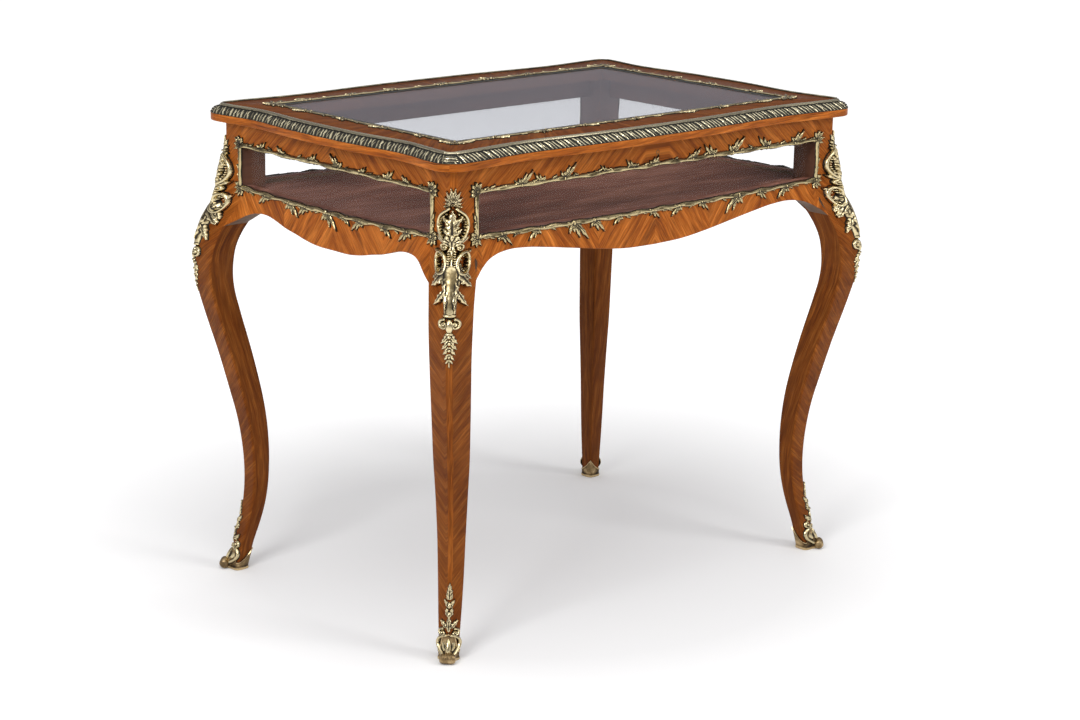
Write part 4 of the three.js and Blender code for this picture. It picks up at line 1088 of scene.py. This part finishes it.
def makeGlassMount():
    look = glassMountLook
    low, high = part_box("glass_mount")
    lineX, lineY = high.x - look["width"] + look["line"], high.y - look["width"] + look["line"]
    margin = look["margin"]
    relief = newRelief(low.x - margin, high.x + margin, low.y - margin, high.y + margin, look["step"])
    # border holds a dark strip laid on the glass just inside the garland: painted shade along its edge
    border = {**relief, "height": relief["height"].copy()}
    corners = [(-lineX, -lineY), (lineX, -lineY), (lineX, lineY), (-lineX, lineY)]
    size, rise = look["sprigSize"], look["leafRise"]
    lengthShare, width, riseShare = look["sprigLeaf"]
    for n, (start, end) in enumerate(zip(corners, corners[1:] + corners[:1])):
        wavyRod(relief, start, end, look)
        leafyTwig(relief, start, end, -1, look)
        inset = (look["line"] + look["edgeShadeWidth"] / 2) * -np.sign([start, end])
        lip = np.array([start, end]) + inset
        tube(border, lip, look["edgeShadeWidth"] / 2, look["lipRise"], flat=look["edgeShadeFlat"])
        along = math.atan2(end[1] - start[1], end[0] - start[0])
        for k, share in enumerate(look["sprigs"][n % 2]):
            spot = (np.array(start) * (1 - share) + np.array(end) * (1 + share)) / 2
            lean = 1 if (k + n) % 2 else -1
            flourish(relief, spot, along - math.pi / 2, lean, size, rise)
            leaf(relief, spot, along + lean * look["sprigTurn"], size * lengthShare, width, rise * riseShare)
    for x, y in corners:
        cornerSpray(relief, (x, y), math.atan2(y, x), look)

    def place(u, v, h):
        return stack(u, v, boardTop + plan["gap"] + h)

    # the dark strip on the glass is painted shade
    piece = reliefPiece("glassEdgeShade", border, place, paintedEdgeShade, -plan["gap"])
    finishPiece(piece, "lid", "glass")
    for x, y in corners + [(0, -lineY), (0, lineY), (-lineX, 0), (lineX, 0)]:
        addPin("lid", relief, place, x, y)
    castPiece("glassCasting", relief, place, giltBrass, -plan["gap"], "lid", "glass_mount")


paneMountLook = {      # flourishes: place along the side, height of the tip, which way they lean
    "step": 0.7 * mm, "rodWidth": 6.6 * mm, "rodRise": 3.6 * mm, "sway": 0.8 * mm, "leafRise": 3.9 * mm,
    "line": 2.2 * mm, "leafStep": 15 * mm, "leafSize": 15 * mm, "leafWidth": 5.2 * mm, "lowShare": 0.95,
    "margin": 20 * mm, "low": 600 * mm, "high": 720 * mm, "sillPoints": 91, "sillWave": 7 * mm,
    "longTop": ((-277, 713, 1), (-236, 709, -1), (-193, 714, 1), (-107, 706, -1), (-52, 708, -1),
                (-13, 708, 1), (74, 710, 1), (121, 713, -1), (163, 717, 1), (243, 713, -1), (306, 713, 1)),
    "longBottom": ((-315, 613, 1), (-243, 614, -1), (-172, 603, 1), (-131, 609, 1), (-76, 615, -1),
                   (-9, 614, 1), (49, 613, -1), (97, 614, 1), (181, 604, -1), (228, 615, 1), (291, 613, -1)),
    "shortTop": ((-177, 708, 1), (-119, 707, -1), (-52, 708, 1), (17, 713, -1), (67, 706, 1), (125, 710, 1),
                 (175, 707, -1)),
    "shortBottom": ((-161, 614, -1), (-104, 608, 1), (-63, 612, -1), (-15, 604, 1), (29, 615, 1),
                    (67, 610, -1), (120, 613, 1), (175, 612, -1)),
    "cornerLeaves": ((0, 0.9), (42, 0.8), (80, 0.8), (135, 1.3)), "cornerSize": 18 * mm,
    "cornerWidth": 8 * mm, "cornerBend": 0.12, "cornerBead": 3 * mm, "cornerBeadRise": 1.2,
}


def makePaneMount(side):
    look = paneMountLook
    half, top = side["half"] - plan["post"] + look["line"], paneTop + look["line"]
    relief = newRelief(-half - look["margin"], half + look["margin"], look["low"], look["high"], look["step"])
    sill = float(paneSill(side, half)) - look["line"]
    lowLeft, lowRight, highLeft, highRight = (-half, sill), (half, sill), (-half, top), (half, top)
    for start, end, outward in ((lowLeft, highLeft, 1), (lowRight, highRight, -1), (highLeft, highRight, 1)):
        wavyRod(relief, start, end, look)
        leafyTwig(relief, start, end, outward, look)
    middle = (0, sill - side["bow"])
    leafyTwig(relief, lowLeft, middle, -1, look)
    leafyTwig(relief, middle, lowRight, -1, look)
    xs = np.linspace(-half, half, look["sillPoints"])
    zs = paneSill(side, xs) - look["line"] + look["sway"] * np.sin(xs / look["sillWave"])
    radii = look["rodWidth"] / 2 * (1 + rodShape["knot"] * np.sin(xs / rodShape["knotWave"]))
    tube(relief, stack(xs, zs), radii, look["rodRise"], flat=rodShape["flat"])
    kind, rise = "long" if side["long"] else "short", look["leafRise"]
    for x, tip, lean in look[kind + "Top"]:
        flourish(relief, (x * mm, top), math.pi / 2, lean, tip * mm - top, rise)
    for x, tip, lean in look[kind + "Bottom"]:
        start = float(paneSill(side, x * mm)) - look["line"]
        flourish(relief, (x * mm, start), -math.pi / 2, -lean, (start - tip * mm) * look["lowShare"], rise)
    for x in (-1, 1):
        for z, way in ((top, 1), (sill, -1)):
            cornerSpray(relief, (x * half, z), math.atan2(way, x), look)

    def place(u, v, h):
        z = np.minimum(v, plan["kneeTop"])
        end = side["half"] + legReach(z) - legWidth(z)
        bulge = apronBulge(np.clip(np.abs(u) / end, 0, 1), z)
        return quarterTurn(stack(u, -side["reach"] - plan["gap"] - bulge - h, v), side["quarter"])

    for u in (-half, 0, half):
        addPin("table", relief, place, u, top)
        addPin("table", relief, place, u, float(paneSill(side, u)) - look["line"])
    name = side["name"]
    castPiece("paneCasting_" + name, relief, place, frameBrass, -plan["gap"], "table", "pane_mount_" + name)


makeGlassMount()
for side in sides:
    makePaneMount(side)
print("glass mount and pane mounts made")


# Knee mounts and shoes lie over the leg's canted edge: u is sideways and v is the height
def arrisPlace(quarter, bulge=lambda u, v: 0, faceTurn=12 * mm):
    def place(u, v, h):
        reach, width, swell = legReach(v), legWidth(v), legSwell(v)
        cant = plan["arrisShare"] * width
        half = (cant + swell * (1 - plan["swellInner"])) / math.sqrt(2)
        out = (2 * reach - cant + swell * (1 + plan["swellInner"])) / math.sqrt(2)
        # away from the canted edge the surface falls back, more steeply where the corner swells
        run = plan["swellRoot"] * width - cant
        slope = (run + swell * (1 + plan["swellInner"])) / (run - swell * (1 - plan["swellInner"]))
        out = out - np.maximum(np.abs(u) - half, 0) * slope + bulge(u, v)
        turn = np.clip(u / faceTurn, -1, 1) * math.pi / 4
        out, aside = out + h * np.cos(turn), u + h * np.sin(turn)
        return cornerPlace(stack((-out + aside) / math.sqrt(2), (-out - aside) / math.sqrt(2), v), quarter)

    return place


kneeMountLook = {
    "step": 0.65 * mm, "halfWidth": 28 * mm, "low": 456 * mm, "high": 710 * mm, "detail": 0.85,
    "squeeze": 0.86, "domeHeights": (456, 480, 500, 520, 535, 550, 570, 600, 625, 650, 670, 685, 700, 710),
    "domeRises": (0.2, 0.6, 1, 2.2, 2.4, 5, 8, 9, 8, 8, 5.6, 3.2, 1, 0.3), "domeHalf": 30 * mm,
    "domeEdge": 3 * mm, "pins": (682 * mm, 508 * mm), "back": -0.1 * mm,
    # rods and beads: radius and rise
    "bow": (4.5, 15.5, 0.92, 677, 50, 24), "bowRod": (2.3 * mm, 5 * mm),
    "innerBow": (3, 12.3, 0.92, 673, 43, 24), "innerRod": (1.5 * mm, 1.6 * mm),
    "innerBead": (1.5 * mm, 4.4 * mm), "ring": (14, 602), "ringHalf": (8.6, 14.5),
    "ringRod": (2.4 * mm, 6 * mm), "beadsHalf": (5, 10), "ringBead": (1.5 * mm, 3.6 * mm),
    "shell": (13 * mm, math.radians(80), 5, 6 * mm), "shellHeight": 629,
    # long tongue and its raised middle: height, radius and rise at three places
    "tongues": ((((592, 16, 4.5), (566, 12, 4.5), (538, 10, 4)), 0.8),
                (((594, 8, 7), (566, 7, 6.4), (538, 5.5, 5.6)), 0.5)),
}
husks = ((509, 20), (499, 18), (489, 15), (479, 12), (471, 9))      # height and length of the drop's leaves
kneeFigure = {
    "leaves": [      # across, height, turn, length, width, rise, lobes and bend
        (0.4, 681, 90, 25, 9, 3.6, 3, -0.14), (0.4, 681, 70, 22, 8, 3.6, 3, -0.14),
        (0.4, 681, 48, 17, 7, 3.6, 3, -0.14),
        (0.4, 681, 24, 13, 6, 3.6, 3, -0.14), (3, 680, -16, 11, 6, 3.6, 3, 0.2),
        (0, 636, 90, 40, 17, 6, 5, 0),
        (1.5, 652, 64, 17, 8, 5.2, 3, -0.2), (1.5, 640, 38, 13, 6.5, 4.6, 3, 0.25),
        (0, 638, -90, 26, 10, 6.6, 3, 0),
        (6, 631, 8, 17, 7, 5, 3, 0.25), (0, 621, -90, 34, 5, 6.5, 1, 0), (19, 611, 50, 9, 6, 5, 3, -0.2),
        (17, 590, -62, 16, 8, 5.6, 3, 0.3), (7, 592, math.degrees(0.5) - 90, 34, 15, 6.4, 4, 0.3),
        (9, 566, math.degrees(0.3) - 90, 26, 10, 5.4, 3, 0.35),
        (2, 592, math.degrees(0.1) - 90, 50, 11, 7.6, 5, -0.04), (0, 471, -90, 14, 4, 3, 1, 0),
        *((0.8, z, -62, size, 0.46 * size, 2.6, 3, 0.15) for z, size in husks)],
    "beads": [      # across, height, radius, rise, stretch and turn
        (0, 682, 2.6, 5, 1, 0), (0, 534, 2.8, 6, 3.5, 0), (0, 519, 5.4, 6, 2, 90), (0, 508, 2.6, 5, 2.4, 0),
        *((3.1, z, 1.7, 6.2, 1, 0) for z in np.arange(619, 586, -3.3)),
        *((0, z - 5, 0.16 * size, 4.6, 1, 0) for z, size in husks)],
    "scrolls": [(8, 624, 4.6, 1.8, 6), (8, 521, 7.4, 2.4, 5)],      # across, height, radius, width and rise
    "scrollTurns": 1.1,
}


def kneeMountRelief():
    # palmette, two open cartouches with beads, a long tongue, and a drop of husks
    look = kneeMountLook
    relief = newRelief(-look["halfWidth"], look["halfWidth"], look["low"], look["high"], look["step"])
    castFigure(relief, kneeFigure)
    shell(relief, at(0, look["shellHeight"]), math.pi / 2, *look["shell"])
    around = np.linspace(0, 2 * math.pi, 30)

    def oval(way, halfX, halfZ, turns):
        x, z = look["ring"]
        return np.stack([way * (x + halfX * np.cos(turns)), z + halfZ * np.sin(turns)], 1) * mm

    for way in (1, -1):
        tube(relief, bowPath(way, *look["bow"]), *look["bowRod"])
        inner = bowPath(way, *look["innerBow"])[2:-1]
        tube(relief, inner, *look["innerRod"])
        for point in inner[::2]:
            bead(relief, point, *look["innerBead"])
        tube(relief, oval(way, *look["ringHalf"], around), *look["ringRod"])
        for point in oval(way, *look["beadsHalf"], around[::3]):
            bead(relief, point, *look["ringBead"])
    for places, flat in look["tongues"]:
        heights, radii, rises = np.array(places).T * mm
        tube(relief, stack(0.0, heights), radii, rises, flat)
    # the whole casting stands off in the middle
    dome = curve(relief["v"], np.array(look["domeHeights"]) * mm, np.array(look["domeRises"]) * mm)
    dome = dome[None, :] * (1 - (relief["u"][:, None] / look["domeHalf"]) ** 2)
    height = relief["height"]
    lifted = height * look["detail"] + dome * np.clip(height / look["domeEdge"], 0, 1)
    return {"u": relief["u"] * look["squeeze"], "v": relief["v"], "height": np.where(height > 0, lifted, -1)}


kneeRelief = kneeMountRelief()
for quarter, name in enumerate(cornerNames):
    for height in kneeMountLook["pins"]:
        addPin("table", kneeRelief, arrisPlace(quarter), 0.0, height)
    castPiece("kneeCasting_" + name, kneeRelief, arrisPlace(quarter), giltBrass, kneeMountLook["back"],
              "table", "knee_mount_" + name)
print("knee mounts made")


# Shoes: a plain cup with an arched rim, leaves up the canted edge and a scroll at the toe
cupLook = {
    "step": 0.9 * mm, "around": 170, "low": 0.3 * mm, "high": 46 * mm, "wall": 2.2 * mm, "back": -0.6 * mm,
    "rimPlaces": (0, 0.12, 0.24, 0.34, 0.42, 0.52, 0.7, 0.85, 1),
    "rimHeights": (42, 40, 35, 22, 14, 14, 19, 25, 35), "squareness": 5.0, "lip": 1.1 * mm,
    "lipReach": 1.8 * mm, "base": 1.2 * mm, "baseHeight": 2 * mm, "baseReach": 2.5 * mm, "toe": 8 * mm,
    "toeShare": 0.1, "toeHeight": 7 * mm, "toeReach": 12 * mm,
}


def hump(x, middle, reach):
    return np.exp(-((x - middle) / reach) ** 2)


def footPoint(around, z):
    # around runs from -1 to 1 with 0 at the arris; gives the place and the way out, corner axes
    z = np.maximum(z, legFoot)
    reach, half = legReach(z), legWidth(z) / 2
    turn = around * math.pi + math.pi * 1.25
    cos, sin = np.cos(turn), np.sin(turn)
    power = cupLook["squareness"]
    size = (np.abs(cos) ** power + np.abs(sin) ** power) ** (-1 / power)
    return half - reach + half * size * cos, half - reach + half * size * sin, cos, sin


def shoeCup(quarter, name):
    look = cupLook
    around = np.linspace(-1, 1, look["around"])
    heights = np.arange(look["low"], look["high"], look["step"])
    a, z = np.meshgrid(around, heights, indexing="ij")
    rim = curve(np.abs(a), look["rimPlaces"], np.array(look["rimHeights"]) * mm)
    lip = look["lip"] * hump(z, rim, look["lipReach"])
    base = look["base"] * hump(z, look["baseHeight"], look["baseReach"])
    relief = {"u": around, "v": heights, "height": np.where(z < rim, look["wall"] + lip + base, -1)}

    def place(u, v, h):
        x, y, cos, sin = footPoint(u, v)
        toe = look["toe"] * hump(u, 0, look["toeShare"]) * hump(v, look["toeHeight"], look["toeReach"])
        out = h + np.where(h > 0, toe, 0)
        return cornerPlace(stack(x + cos * out, y + sin * out, v), quarter)

    castPiece("shoeCup_" + name, relief, place, shoeBrass, look["back"], "table", "shoe_" + name)


sprayLook = {
    "step": 0.7 * mm, "halfWidth": 19 * mm, "low": 4 * mm, "high": 116 * mm, "pin": 69 * mm,
    "back": -0.1 * mm, "bulge": 7.5 * mm, "bulgeHeight": 6 * mm, "bulgeReach": 17 * mm, "bulgeHalf": 13 * mm,
    # rims of the almond that opens to the toe
    "bow": (4, 11, 0.8, 39, 31, 20), "bowRod": (2.2 * mm, 5 * mm),
}
sprayFigure = {
    "leaves": [(0, 90, 90, 25, 9, 3.4, 4, 0), (1, 90, 66, 11, 5, 3, 3, 0.2),
               (1, 78, 72, 14, 6, 3.6, 3, -0.15), (1, 66, 68, 14, 7, 4, 3, 0.2),
               (0, 44, 90, 24, 9, 4.4, 3, 0), (2, 50, 32, 13, 8, 4.6, 3, 0.3)],
    "beads": [(0, 82, 3, 4.4, 1.6, 90), (0, 69, 3.4, 5, 1.4, 90), (7, 23, 3.2, 2, 2.4, 90),
              (0, 24, 3.8, 6, 3, 90)],
    "scrolls": [(8.5, 42, 5.2, 1.9, 5.4)], "scrollTurns": 1.1,
}


def shoeSpray(quarter, name):
    look = sprayLook
    relief = newRelief(-look["halfWidth"], look["halfWidth"], look["low"], look["high"], look["step"])
    castFigure(relief, sprayFigure)
    for way in (1, -1):
        tube(relief, bowPath(way, *look["bow"]), *look["bowRod"])

    def bulge(u, v):
        upward = hump(v, look["bulgeHeight"], look["bulgeReach"])
        return look["bulge"] * upward * hump(u, 0, look["bulgeHalf"])

    addPin("table", relief, arrisPlace(quarter, bulge), 0.0, look["pin"])
    castPiece("shoeSpray_" + name, relief, arrisPlace(quarter, bulge), giltBrass, look["back"], "table")


toeLook = {
    "radius": 8 * mm, "width": 25 * mm, "out": 7 * mm, "rib": 0.05, "fullness": 0.95, "foot": 0.3 * mm,
    "points": 33,
}


def shoeScroll(quarter, name):
    look = toeLook
    toeOut = 2 * float(legReach(legFoot)) / math.sqrt(2) + look["out"]
    turns = np.linspace(0, 2 * math.pi, look["points"])[:-1]
    rings = []
    for share in np.linspace(-1, 1, look["points"]):
        rib = 1 + look["rib"] * np.cos(7 * math.pi * share)
        radius = look["radius"] * rib * look["fullness"] * max(1 - share ** 6, 0.02) ** 0.5
        aside, out = share * look["width"] / 2, toeOut + radius * np.cos(turns)
        level = look["radius"] + look["foot"] + radius * np.sin(turns)
        rings.append(stack((-out + aside) / math.sqrt(2), (-out - aside) / math.sqrt(2), level))
    rings = cornerPlace(np.array(rings), quarter)
    uvs = np.zeros((len(rings), len(turns) + 1, 2))
    piece = loftPiece("shoeScroll_" + name, rings, uvs, [shoeBrass], [0] * len(turns), 0)
    finishPiece(piece, "table", "gilt_brass")


for quarter, name in enumerate(cornerNames):
    shoeCup(quarter, name)
    shoeSpray(quarter, name)
    shoeScroll(quarter, name)
print("shoes made")


# Velvet: cut to the floor of the case and laid on the base board
velvetLook = {"step": 5 * mm, "notch": 24 * mm, "edgeLines": 7, "wave": 0.25 * mm, "waves": (31, 17, 43, 23)}


def makeVelvetLining():
    look = velvetLook
    low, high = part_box("velvet_lining")
    halfX, halfY, notch = high.x, high.y, look["notch"]

    def lines(half):
        inner = np.linspace(-half + notch, half - notch, int(2 * (half - notch) / look["step"]))
        edge = np.linspace(half - notch, half, look["edgeLines"])[1:]
        return np.concatenate([-edge[::-1], inner, edge])

    u, v = lines(halfX), lines(halfY)
    x, y = np.meshgrid(u, v, indexing="ij")
    inside = (np.abs(x) <= halfX - notch + 1e-7) | (np.abs(y) <= halfY - notch + 1e-7)
    a, b, c, d = look["waves"]
    wave = np.sin(x * a + 2 * np.sin(y * b)) * np.sin(y * c + 1.5 * np.sin(x * d))
    height = np.where(inside, high.z - low.z + look["wave"] * (wave - 1), -1)

    def place(a, b, h):
        return stack(a, b, low.z + h)

    piece = reliefPiece("velvetCloth", {"u": u, "v": v, "height": height}, place, wornVelvet, 0.0, whole=True)
    finishPiece(piece, "table", "velvet", "velvet_lining")


makeVelvetLining()
print("velvet laid")

# Pin heads, one mesh for each body
pinLook = {
    "sizes": {"Head Radius": 1.5 * mm, "Head Flatness": 0.55, "Least Size": 0.9, "Most Size": 1.1},
    "segments": 12, "rings": 8, "seed": 7,
}


def makePinTree():
    tree = bpy.data.node_groups.new("pinHeads", "GeometryNodeTree")
    tree.interface.new_socket("Geometry", in_out="INPUT", socket_type="NodeSocketGeometry")
    for label in pinLook["sizes"]:
        tree.interface.new_socket(label, in_out="INPUT", socket_type="NodeSocketFloat")
    tree.interface.new_socket("Geometry", in_out="OUTPUT", socket_type="NodeSocketGeometry")
    given, result = tree.nodes.new("NodeGroupInput").outputs, tree.nodes.new("NodeGroupOutput")
    words = {"Segments": pinLook["segments"], "Rings": pinLook["rings"], "Radius": given["Head Radius"]}
    ball = addNode(tree, "GeometryNodeMeshUVSphere", words).outputs["Mesh"]
    flat = addNode(tree, "ShaderNodeCombineXYZ", {0: 1.0, 1: 1.0, 2: given["Head Flatness"]}).outputs[0]
    head = addNode(tree, "GeometryNodeTransform", {"Geometry": ball, "Scale": flat}).outputs[0]
    facing = addNode(tree, "GeometryNodeInputNamedAttribute", {"Name": "facing"}, data_type="FLOAT_VECTOR")
    turned = addNode(tree, "FunctionNodeAlignRotationToVector", {"Vector": facing.outputs[0]}, axis="Z")
    uneven = addNode(tree, "FunctionNodeRandomValue", {
        2: given["Least Size"], 3: given["Most Size"], "Seed": pinLook["seed"]}, data_type="FLOAT").outputs[1]
    words = {"Points": given["Geometry"], "Instance": head, "Rotation": turned.outputs[0], "Scale": uneven}
    heads = addNode(tree, "GeometryNodeInstanceOnPoints", words).outputs[0]
    solid = addNode(tree, "GeometryNodeRealizeInstances", {0: heads}).outputs[0]
    dressed = addNode(tree, "GeometryNodeSetMaterial", {"Geometry": solid, "Material": giltBrass}).outputs[0]
    setInputs(tree, result, {0: dressed})
    return tree


def makePins(body, tree):
    spots, facings = (np.array(part) for part in zip(*pinPlaces[body]))
    points = bpy.data.meshes.new("pinPoints")
    points.from_pydata(spots.tolist(), [], [])
    points.attributes.new("facing", "FLOAT_VECTOR", "POINT").data.foreach_set("vector", facings.ravel())
    holder = newObject("pinHolder", points)
    modifier = holder.modifiers.new("pins", "NODES")
    modifier.node_group = tree
    for socket in tree.interface.items_tree:
        if socket.in_out == "INPUT" and socket.name in pinLook["sizes"]:
            modifier[socket.identifier] = pinLook["sizes"][socket.name]
    shown = holder.evaluated_get(bpy.context.evaluated_depsgraph_get())
    mesh = bpy.data.meshes.new_from_object(shown)
    holder.modifiers.remove(modifier)
    bpy.data.objects.remove(holder)
    finishPiece(newObject("pinHeads_" + body, mesh), body, "gilt_brass")


pinTree = makePinTree()
for body in pinPlaces:
    makePins(body, pinTree)
print("pin heads made")


# The solids that are shown as they are
hingeLeaves = [f"hinge_{leafName}_leaf_{end}" for leafName in ("lower", "upper") for end in ("left", "right")]
for material, names in (
    (carcaseWood, ["base_board"] + ["base_cleat_" + name for name in sideNames]),
    (caseGlass, ["side_glass_" + name for name in sideNames]),
    (plateGlass, ["lid_glass"]),
    (giltBrass, ["striker_plate", "keyhole_liner"] + hingeLeaves),
    (wornSteel, ["lock_case", "lock_bolt", "hinge_pin_left", "hinge_pin_right"]),
):
    for name in names:
        nodes[name].data.materials.clear()
        nodes[name].data.materials.append(material)
for node in nodes.values():
    if not node.data.materials:
        node.data.materials.append(giltBrass)
print("plain pieces dressed")


# Floor, light and camera
stage = {
    # the floor's own light is weak near the table: a painted shadow round it
    "floorHalf": 30.0, "paintedShadowLevels": (0.45, 1.25, 0.06, 0.52),      # own light: radii, then strengths there
    "floorDiffuse": (0.86, 0.86, 0.86, 1), "aim": (0, 0, 0.5),
    "sky": ((0.0, (0.8, 0.8, 0.8)), (0.10, (0.8, 0.8, 0.8)), (0.145, (0.26, 0.245, 0.27)),
            (0.62, (0.2625, 0.2625, 0.28)), (0.84, (1.0, 1.0, 1.0))),
    # name, watts, size and place
    "lamps": (("keyLamp", 30.0, 3.0, (-1.2, -1.6, 3.4)), ("leftLamp", 50.0, 1.2, (-3.0, -1.1, 2.3)),
              ("frontLamp", 36.0, 1.2, (1.2, -3.0, 2.4))),
}


def makeFloor():
    size = stage["floorHalf"]
    mesh = bpy.data.meshes.new("floor")
    corners = [(-size, -size, 0), (size, -size, 0), (size, size, 0), (-size, size, 0)]
    mesh.from_pydata(corners, [], [(0, 1, 2, 3)])
    newObject("floor", mesh)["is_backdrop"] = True
    material = bpy.data.materials.new("paleFloor")
    material.use_nodes = True
    tree = material.node_tree
    tree.nodes.clear()
    path = addNode(tree, "ShaderNodeLightPath").outputs
    seen = maths(tree, "MAXIMUM", path["Is Camera Ray"], path["Is Glossy Ray"])
    seen = maths(tree, "MAXIMUM", seen, path["Is Transmission Ray"])
    # the floor shines by itself away from the table, so that the cast shadow stays and the rest is white;
    # near the table its own light fades, a painted shadow
    place = addNode(tree, "ShaderNodeNewGeometry").outputs["Position"]
    away = addNode(tree, "ShaderNodeVectorMath", {0: place}, operation="LENGTH").outputs["Value"]
    level = ranged(tree, away, *stage["paintedShadowLevels"])
    own = addNode(tree, "ShaderNodeEmission", {"Strength": maths(tree, "MULTIPLY", seen, level)})
    diffuse = addNode(tree, "ShaderNodeBsdfDiffuse", {"Color": stage["floorDiffuse"]})
    both = addNode(tree, "ShaderNodeAddShader", {0: own.outputs[0], 1: diffuse.outputs[0]})
    addNode(tree, "ShaderNodeOutputMaterial", {"Surface": both.outputs[0]})
    mesh.materials.append(material)


def makeSky():
    world = bpy.data.worlds.new("studio")
    bpy.context.scene.world = world
    world.use_nodes = True
    tree = world.node_tree
    direction = addNode(tree, "ShaderNodeTexCoord").outputs["Generated"]
    height = addNode(tree, "ShaderNodeSeparateXYZ", {0: direction}).outputs[2]
    setInputs(tree, tree.nodes["Background"], {"Color": ramp(tree, height, stage["sky"])})


def makeLamps():
    for name, power, size, spot in stage["lamps"]:
        light = bpy.data.lights.new(name, "AREA")
        light.energy, light.size = power, size
        lamp = newObject(name, light)
        lamp.location = spot
        lamp.rotation_euler = (Vector(stage["aim"]) - Vector(spot)).to_track_quat("-Z", "Y").to_euler()


view = {
    "azimuth": -43.033, "elevation": 14.803, "roll": 1.171, "distance": 3.6282,
    "target": (-0.2933, -0.3359, 0.4536), "lens": 84.55, "sensor": 36.0,
}


def makeCamera():
    a, e, roll = (math.radians(view[key]) for key in ("azimuth", "elevation", "roll"))
    back = Vector((math.sin(a) * math.cos(e), -math.cos(a) * math.cos(e), math.sin(e)))
    right = Vector((math.cos(a), math.sin(a), 0))
    upright = back.cross(right)
    x = right * math.cos(roll) + upright * math.sin(roll)
    y = upright * math.cos(roll) - right * math.sin(roll)
    data = bpy.data.cameras.new("camera")
    data.lens, data.sensor_width = view["lens"], view["sensor"]
    camera = newObject("camera", data)
    spot = Vector(view["target"]) + back * view["distance"]
    camera.matrix_world = Matrix.Translation(spot) @ Matrix((x, y, back)).transposed().to_4x4()
    bpy.context.scene.camera = camera


makeFloor()
makeSky()
makeLamps()
makeCamera()
meshes = [piece.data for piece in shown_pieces() if piece.type == "MESH"]
print("triangles shown:", sum(len(mesh.loops) - 2 * len(mesh.polygons) for mesh in meshes))
